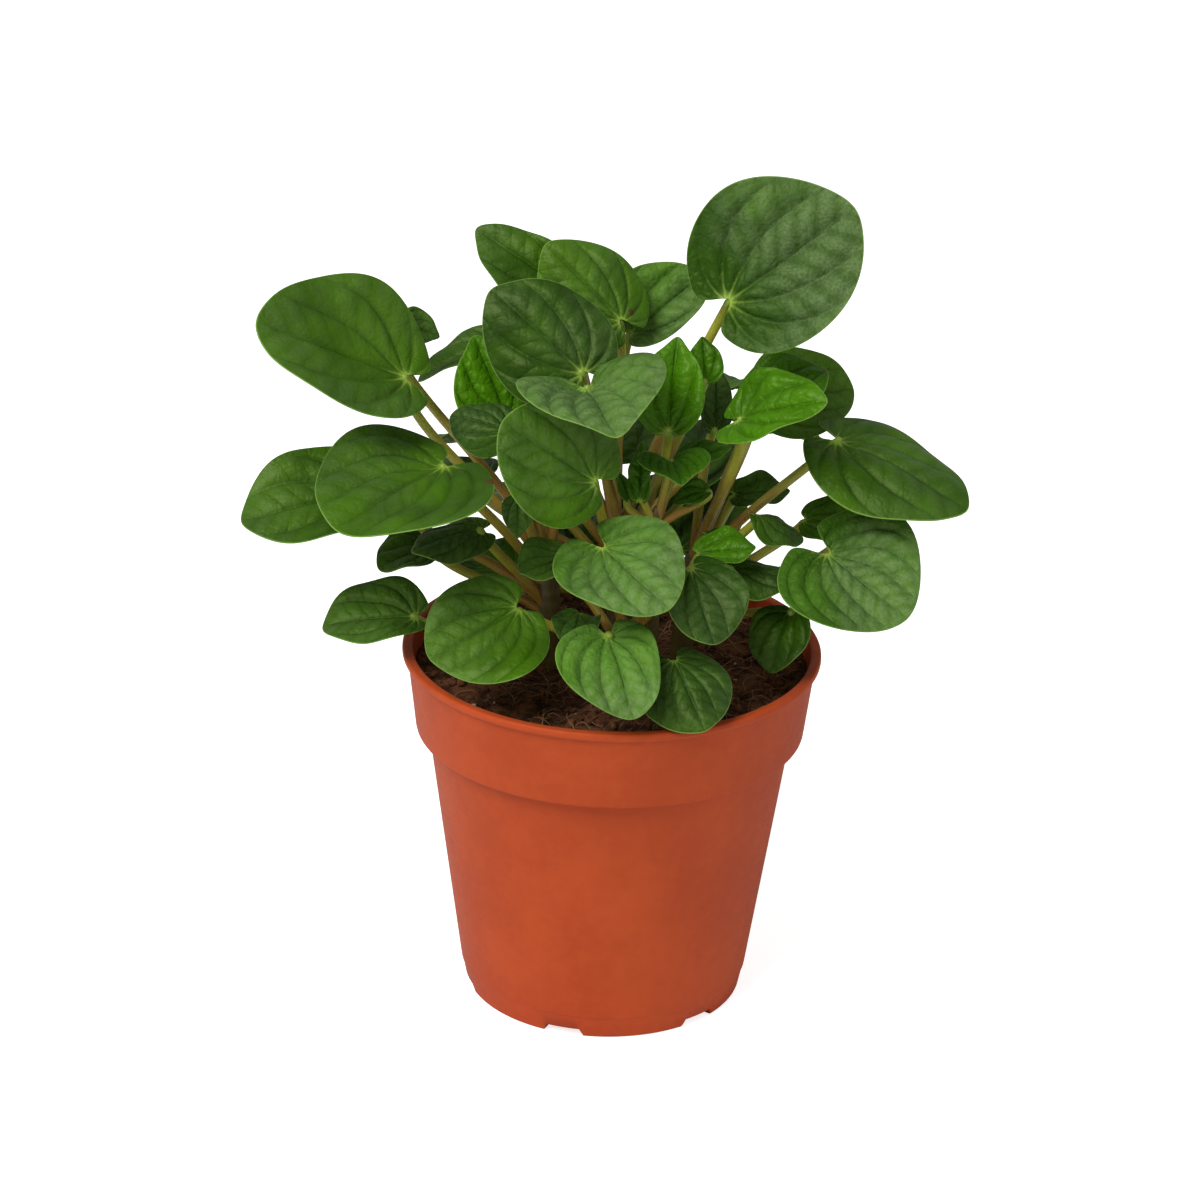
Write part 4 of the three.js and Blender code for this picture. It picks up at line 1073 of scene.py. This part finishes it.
def build_pot(settings):
    """Turns the pot's outline, cuts the gaps between its feet and drills the floor."""
    height, edge = POT_HIGH.z / MM, settings.edge / MM
    wall = POT["wall"]
    profile = [
        (POT_FACES["hub"], POT["floor"]),
        (POT["ring_radius"] - POT_FACES["slope"], POT["floor"]),
        (POT["ring_radius"], 0),
        (POT["foot_radius"], 0),
        (POT["wall_foot"], POT["foot_height"]),
        (POT["wall_foot"] + POT_FACES["step"], POT["foot_height"] + POT_FACES["step"]),
        (POT["wall_top"], POT["ledge"]),
        (POT["collar_foot"], POT["ledge"]),
        (POT["collar_top"], height - POT["lip_height"]),
        (POT["lip_radius"], height - POT["lip_height"] + POT_FACES["lip"]),
        (POT["lip_radius"], height),
        (POT["collar_top"] - wall, height),
        (POT["collar_foot"] - wall, POT["ledge"] + wall),
        (POT["wall_top"] - wall, POT["ledge"] + wall),
        (POT["wall_foot"] - wall, POT["floor"] + POT["floor_depth"]),
        (POT_FACES["hub"], POT["floor"] + POT["floor_depth"]),
    ]
    outline = rounded(profile, 2 * edge)
    turn = pot_angles(settings.segments)
    count = len(turn)
    radius = np.repeat(outline[:, :1], count, axis=1)
    level = np.repeat(outline[:, 1:], count, axis=1)
    cut = notch_height(turn)[None]
    raised = np.maximum(level, np.where(radius > POT["ring_radius"] - POT_FACES["ring"], cut, 0))
    outer = radius > (POT["ring_radius"] + POT["foot_radius"]) / 2
    lean = (POT["wall_foot"] - POT["foot_radius"]) / POT["foot_height"]
    radius = radius + np.where(outer, lean, 0) * (raised - level)
    points = np.stack([radius * np.cos(turn), radius * np.sin(turn), raised], axis=-1).reshape(-1, 3)
    faces = []
    for ring in range(len(outline) - 1):
        faces += quads(ring * count, (ring + 1) * count, count, flip=True)
    faces.append(list(range(count)))
    faces.append(list(range((len(outline) - 1) * count, len(outline) * count))[::-1])
    shell = Shell()
    shell.add(points * MM, faces)
    piece = shell.make("grow_pot", pot_material(settings))
    cut_drains(piece)
    finish_piece(piece, "pot", "pot")


def cut_drains(piece):
    """Cuts the round drain holes through the pot's floor."""
    shell = Shell()
    for index in range(DRAIN["count"]):
        turn = 2 * math.pi * index / DRAIN["count"]
        centre = np.array([DRAIN["circle"] * math.cos(turn), DRAIN["circle"] * math.sin(turn), 0])
        levels = (POT["floor"] - POT_FACES["over"], POT["floor"] + POT["floor_depth"] + POT_FACES["over"])
        path = np.array([centre + (0, 0, level) for level in levels])
        shell.add(*tube(path * MM, DRAIN["radius"] * MM, sides=32)[:2])
    cutter = shell.make("drain_cutter", piece.data.materials[0])
    modifier = piece.modifiers.new("drains", "BOOLEAN")
    modifier.operation, modifier.solver, modifier.object = "DIFFERENCE", "EXACT", cutter
    bpy.context.view_layer.objects.active = piece
    bpy.context.view_layer.update()
    bpy.ops.object.modifier_apply(modifier=modifier.name)
    bpy.data.objects.remove(cutter)
    piece.data.shade_smooth()


# ---------------------------------------------------------------- soil

# The soil. gap, lift: what stays free beside and under it; rolls, ripples: lengths and start of its slow
# waves, wave and ripple their heights; lump and lump_layers: size and make-up of its lumps.
SOIL = dict(sides=220, rings=74, gap=0.1, lift=0.2, wave=0.8, rolls=(7, 8.5, 1.2), ripples=(5, 1.3, 0.5),
            ripple=0.6, lump=6.5, lump_layers=(0.9, 2.1, 4))
# A fibre: ranges of its length, curl, arch, wandering and radius; how far from the pot it starts and stays,
# how high it lies, how it turns back from the pot and how blunt its ends are.
FIBRE = dict(steps=9, length=(4, 15), clear=4, curl=(-0.35, 0.35), arch=(0.2, 1.6), lift=0.25,
             wander=(-0.25, 0.25), free=0.8, turn_back=1.2, blunt=0.25, radius=(0.09, 0.17))
# A lump: its rings and sides, the ranges of its width and height, of its dents, heading and lean, and how far
# it stays from the pot, in sizes.
PEBBLE = dict(rings=5, sides=8, width=(0.55, 1), height=(0.45, 0.85), dents=(0.74, 1.12), heading=(0, 6.28),
              lean=(-0.6, 0.6), clear=1.6)
# The crumbs of peat, most of them small, and the white grains: their sizes, and how high they lie in sizes.
CRUMB = dict(least=0.5, spread=1.3, mostly_small=2.2, lift=0.25)
WHITE_GRAIN = dict(size=(0.35, 0.8), lift=0.9)


def soil_height(x, y, roughness):
    """Height of the soil's lumpy top at a point, all in millimetres."""
    across, deep, start = SOIL["rolls"]
    rolls = math.sin(x / across + start) * math.cos(y / deep)
    short, slant, start = SOIL["ripples"]
    rolls += SOIL["ripple"] * math.sin((x - slant * y) / short + start)
    lumps = noise.fractal(Vector((x, y, 0)) / SOIL["lump"], *SOIL["lump_layers"]) * roughness
    return STEM["soil_level"] + SOIL["wave"] * rolls + lumps


def soil_radius(level):
    """How far the soil reaches at a height in the pot's collar."""
    inner_foot, inner_top = POT["collar_foot"] - POT["wall"], POT["collar_top"] - POT["wall"]
    ledge = POT["ledge"] + POT["wall"]
    share = (level - ledge) / (POT_HIGH.z / MM - ledge)
    return inner_foot + share * (inner_top - inner_foot) - SOIL["gap"]


def build_soil_bed(settings):
    """The lumpy block of peat, which fills the pot down to its floor."""
    count, rings = SOIL["sides"], SOIL["rings"]
    edge = soil_radius(STEM["soil_level"])
    turn = 2 * np.pi * np.arange(count) / count
    rough = settings.roughness / MM
    points = [(0, 0, soil_height(0, 0, rough))]
    for ring in range(1, rings + 1):
        radius = edge * ring / rings
        spots = [(radius * math.cos(t), radius * math.sin(t)) for t in turn]
        points += [(x, y, soil_height(x, y, rough)) for x, y in spots]
    faces = fan(0, 1, count)
    for ring in range(rings - 1):
        faces += quads(1 + ring * count, 1 + (ring + 1) * count, count)
    ledge = POT["ledge"] + POT["wall"]
    bottom = POT["floor"] + POT["floor_depth"] + SOIL["lift"]
    below = [(soil_radius(ledge), ledge + SOIL["lift"]),
             (POT["wall_top"] - POT["wall"] - SOIL["gap"], ledge + SOIL["lift"]),
             (POT["wall_foot"] - POT["wall"] - SOIL["gap"], bottom)]
    last = 1 + (rings - 1) * count
    for radius, level in below:
        start = len(points)
        points += [(radius * math.cos(t), radius * math.sin(t), level) for t in turn]
        faces += quads(last, start, count)
        last = start
    points.append((0, 0, bottom))
    faces += fan(len(points) - 1, last, count, flip=True)
    shell = Shell()
    shell.add(np.array(points) * MM, faces, tone=0.0)
    return shell.make("potting_soil", soil_material(settings))


def pebble(random, size):
    """A small uneven lump: a ball of eight sides, flattened and dented at random."""
    rings, sides = PEBBLE["rings"], PEBBLE["sides"]
    stretch = np.array([1, random.uniform(*PEBBLE["width"]), random.uniform(*PEBBLE["height"])]) * size
    turn = 2 * np.pi * np.arange(sides) / sides
    points = [(0, 0, 1)]
    for ring in range(1, rings):
        polar = math.pi * ring / rings
        points += [(math.sin(polar) * math.cos(t), math.sin(polar) * math.sin(t), math.cos(polar))
                   for t in turn]
    points.append((0, 0, -1))
    points = np.array(points, float)
    points *= random.uniform(*PEBBLE["dents"], (len(points), 1))
    faces = fan(0, 1, sides)
    for ring in range(rings - 2):
        faces += quads(1 + ring * sides, 1 + (ring + 1) * sides, sides)
    faces += fan(len(points) - 1, 1 + (rings - 2) * sides, sides, flip=True)
    heading = Matrix.Rotation(random.uniform(*PEBBLE["heading"]), 3, "Z")
    turned = heading @ Matrix.Rotation(random.uniform(*PEBBLE["lean"]), 3, "X")
    return points * stretch @ np.array(turned).T, faces


def soil_spot(random, settings, clear):
    """A random point on the soil, at least clear millimetres from the pot."""
    radius = (soil_radius(STEM["soil_level"]) - clear) * math.sqrt(random.uniform(0, 1))
    turn = random.uniform(0, 2 * math.pi)
    x, y = radius * math.cos(turn), radius * math.sin(turn)
    return np.array([x, y, soil_height(x, y, settings.roughness / MM)])


def add_pebble(shell, random, settings, size, lift, shaded=False):
    """Adds a lump at a random point on the soil, lifted by a share of its size; where shaded, with a tone."""
    points, faces = pebble(random, size)
    spot = soil_spot(random, settings, PEBBLE["clear"] * size)
    marks = {"tone": random.uniform(0, 1)} if shaded else {}
    shell.add((points + spot + (0, 0, lift * size)) * MM, faces, **marks)


def build_soil(settings):
    """Fills the pot with peat and strews crumbs, white grains and coir fibres over it."""
    random = np.random.default_rng(settings.seed)
    bed = build_soil_bed(settings)
    crumbs, specks, fibres = Shell(), Shell(), Shell()
    for _ in range(settings.crumbs):
        size = CRUMB["least"] + CRUMB["spread"] * random.uniform(0, 1) ** CRUMB["mostly_small"]
        add_pebble(crumbs, random, settings, size, CRUMB["lift"], shaded=True)
    for _ in range(settings.specks):
        size = random.uniform(*WHITE_GRAIN["size"])
        add_pebble(specks, random, settings, size, WHITE_GRAIN["lift"])
    for _ in range(settings.fibres):
        add_fibre(fibres, random, settings)
    finish_piece(bed, "soil", "soil")
    finish_piece(crumbs.make("peat_crumbs", soil_material(settings)), "soil")
    finish_piece(specks.make("white_grains", speck_material(settings)), "soil")
    finish_piece(fibres.make("coir_fibres", fibre_material(settings)), "soil")


def add_fibre(shell, random, settings):
    """Adds one thin fibre that wanders over the soil."""
    length = random.uniform(*FIBRE["length"])
    spot = soil_spot(random, settings, FIBRE["clear"])
    heading, curl = random.uniform(0, 2 * math.pi), random.uniform(*FIBRE["curl"])
    steps = FIBRE["steps"]
    path = []
    lift = random.uniform(*FIBRE["arch"])
    for step in range(steps):
        x, y = spot[0], spot[1]
        arch = lift * math.sin(math.pi * step / (steps - 1))
        path.append((x, y, soil_height(x, y, settings.roughness / MM) + FIBRE["lift"] + arch))
        heading += curl + random.uniform(*FIBRE["wander"])
        onward = spot[:2] + np.array([math.cos(heading), math.sin(heading)]) * length / steps
        limit = soil_radius(STEM["soil_level"]) - FIBRE["free"]
        far = np.linalg.norm(onward)
        spot = np.array([*(onward * min(1, limit / far)), 0])
        if far > limit:
            heading += FIBRE["turn_back"]
    blunt = FIBRE["blunt"]
    radii = random.uniform(*FIBRE["radius"]) * np.sin(np.linspace(blunt, math.pi - blunt, steps)) ** 0.5
    points, faces, _ = tube(np.array(path) * MM, radii * MM, sides=5)
    shell.add(points, faces)


# ---------------------------------------------------------------- stage

# The soft lights: where each one stands and its width, in metres.
LIGHTS = {"key": ((-0.75, -0.9, 1.5), 1.1), "fill": ((1.3, -0.5, 0.7), 1.0)}
FLOOR = dict(size=8, squares=8)


def add_soft_light(name, place, aim, size, power):
    light = bpy.data.lights.new(name, "AREA")
    light.shape, light.size, light.energy = "DISK", size, power
    lamp = bpy.data.objects.new(name, light)
    lamp.location = place
    lamp.rotation_euler = (Vector(place) - Vector(aim)).to_track_quat("Z", "Y").to_euler()
    bpy.context.scene.collection.objects.link(lamp)


def build_stage(settings):
    scene = bpy.context.scene
    scene.view_settings.view_transform = "Standard"
    bpy.ops.mesh.primitive_grid_add(
        x_subdivisions=FLOOR["squares"], y_subdivisions=FLOOR["squares"], size=FLOOR["size"],
        location=(0, 0, POT_LOW.z))
    floor = bpy.context.active_object
    floor.name = "floor"
    floor.data.materials.append(floor_material(settings.floor_colour, settings.floor_glow))

    world = bpy.data.worlds.new("studio")
    world.use_nodes = True
    surroundings = world.node_tree.nodes["Background"].inputs
    surroundings["Color"].default_value = (1, 1, 1, 1)
    surroundings["Strength"].default_value = settings.sky
    scene.world = world
    aim = Vector(settings.aim)
    for name, (place, size) in LIGHTS.items():
        add_soft_light(name, place, aim, size, getattr(settings, name + "_power"))

    camera = bpy.data.objects.new("camera", bpy.data.cameras.new("camera"))
    camera.data.lens = settings.lens
    turn = Matrix.Rotation(math.pi / 2 - settings.elevation, 4, "X") @ Matrix.Rotation(settings.roll, 4, "Z")
    back = turn.to_3x3() @ Vector((0, 0, 1))
    camera.matrix_world = Matrix.Translation(aim + back * settings.distance) @ turn
    scene.collection.objects.link(camera)
    scene.camera = camera


# ---------------------------------------------------------------- operators, panel and main

class PLANT_OT_stage(bpy.types.Operator):
    """Sets the floor, the soft lights and the camera"""
    bl_idname = "plant.stage"
    bl_label = "Stage"

    def execute(self, context):
        build_stage(context.scene.plant_stage)
        return {"FINISHED"}


class PLANT_OT_pot(bpy.types.Operator):
    """Turns the grow pot, with its feet and drain holes"""
    bl_idname = "plant.pot"
    bl_label = "Pot"

    def execute(self, context):
        build_pot(context.scene.plant_pot)
        return {"FINISHED"}


class PLANT_OT_soil(bpy.types.Operator):
    """Fills the pot with peat, crumbs, coir fibres and white grains"""
    bl_idname = "plant.soil"
    bl_label = "Soil"

    def execute(self, context):
        build_soil(context.scene.plant_soil)
        return {"FINISHED"}


class PLANT_OT_petioles(bpy.types.Operator):
    """Grows the five stems and their petioles"""
    bl_idname = "plant.petioles"
    bl_label = "Petioles"

    def execute(self, context):
        build_petioles(context.scene.plant_petiole)
        return {"FINISHED"}


class PLANT_OT_leaves(bpy.types.Operator):
    """Grows the leaf blades"""
    bl_idname = "plant.leaves"
    bl_label = "Leaves"

    def execute(self, context):
        build_leaves(context.scene.plant_leaf)
        return {"FINISHED"}


class PLANT_OT_shoot(bpy.types.Operator):
    """Grows the young shoot in the middle"""
    bl_idname = "plant.shoot"
    bl_label = "Young shoot"

    def execute(self, context):
        scene = context.scene
        build_shoot(scene.plant_petiole, scene.plant_leaf, scene.plant_young)
        return {"FINISHED"}


OPERATORS = (PLANT_OT_stage, PLANT_OT_pot, PLANT_OT_soil, PLANT_OT_petioles, PLANT_OT_leaves, PLANT_OT_shoot)


class PLANT_PT_panel(bpy.types.Panel):
    """The plant's builders and their settings"""
    bl_idname = "PLANT_PT_panel"
    bl_label = "Potted peperomia"
    bl_space_type = "VIEW_3D"
    bl_region_type = "UI"
    bl_category = "Plant"

    def draw(self, context):
        for operator in OPERATORS:
            self.layout.operator(operator.bl_idname)
        for name, group in SETTINGS.items():
            box = self.layout.box()
            for setting in group.__annotations__:
                box.prop(getattr(context.scene, name), setting)


CLASSES = (*SETTINGS.values(), *OPERATORS, PLANT_PT_panel)


def register():
    for one in CLASSES:
        bpy.utils.register_class(one)
    for name, group in SETTINGS.items():
        setattr(bpy.types.Scene, name, bpy.props.PointerProperty(type=group))


def unregister():
    for name in SETTINGS:
        delattr(bpy.types.Scene, name)
    for one in reversed(CLASSES):
        bpy.utils.unregister_class(one)


def main():
    register()
    bpy.ops.plant.stage()
    bpy.ops.plant.pot()
    bpy.ops.plant.soil()
    bpy.ops.plant.petioles()
    bpy.ops.plant.leaves()
    bpy.ops.plant.shoot()
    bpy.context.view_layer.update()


if __name__ == "__main__":
    main()
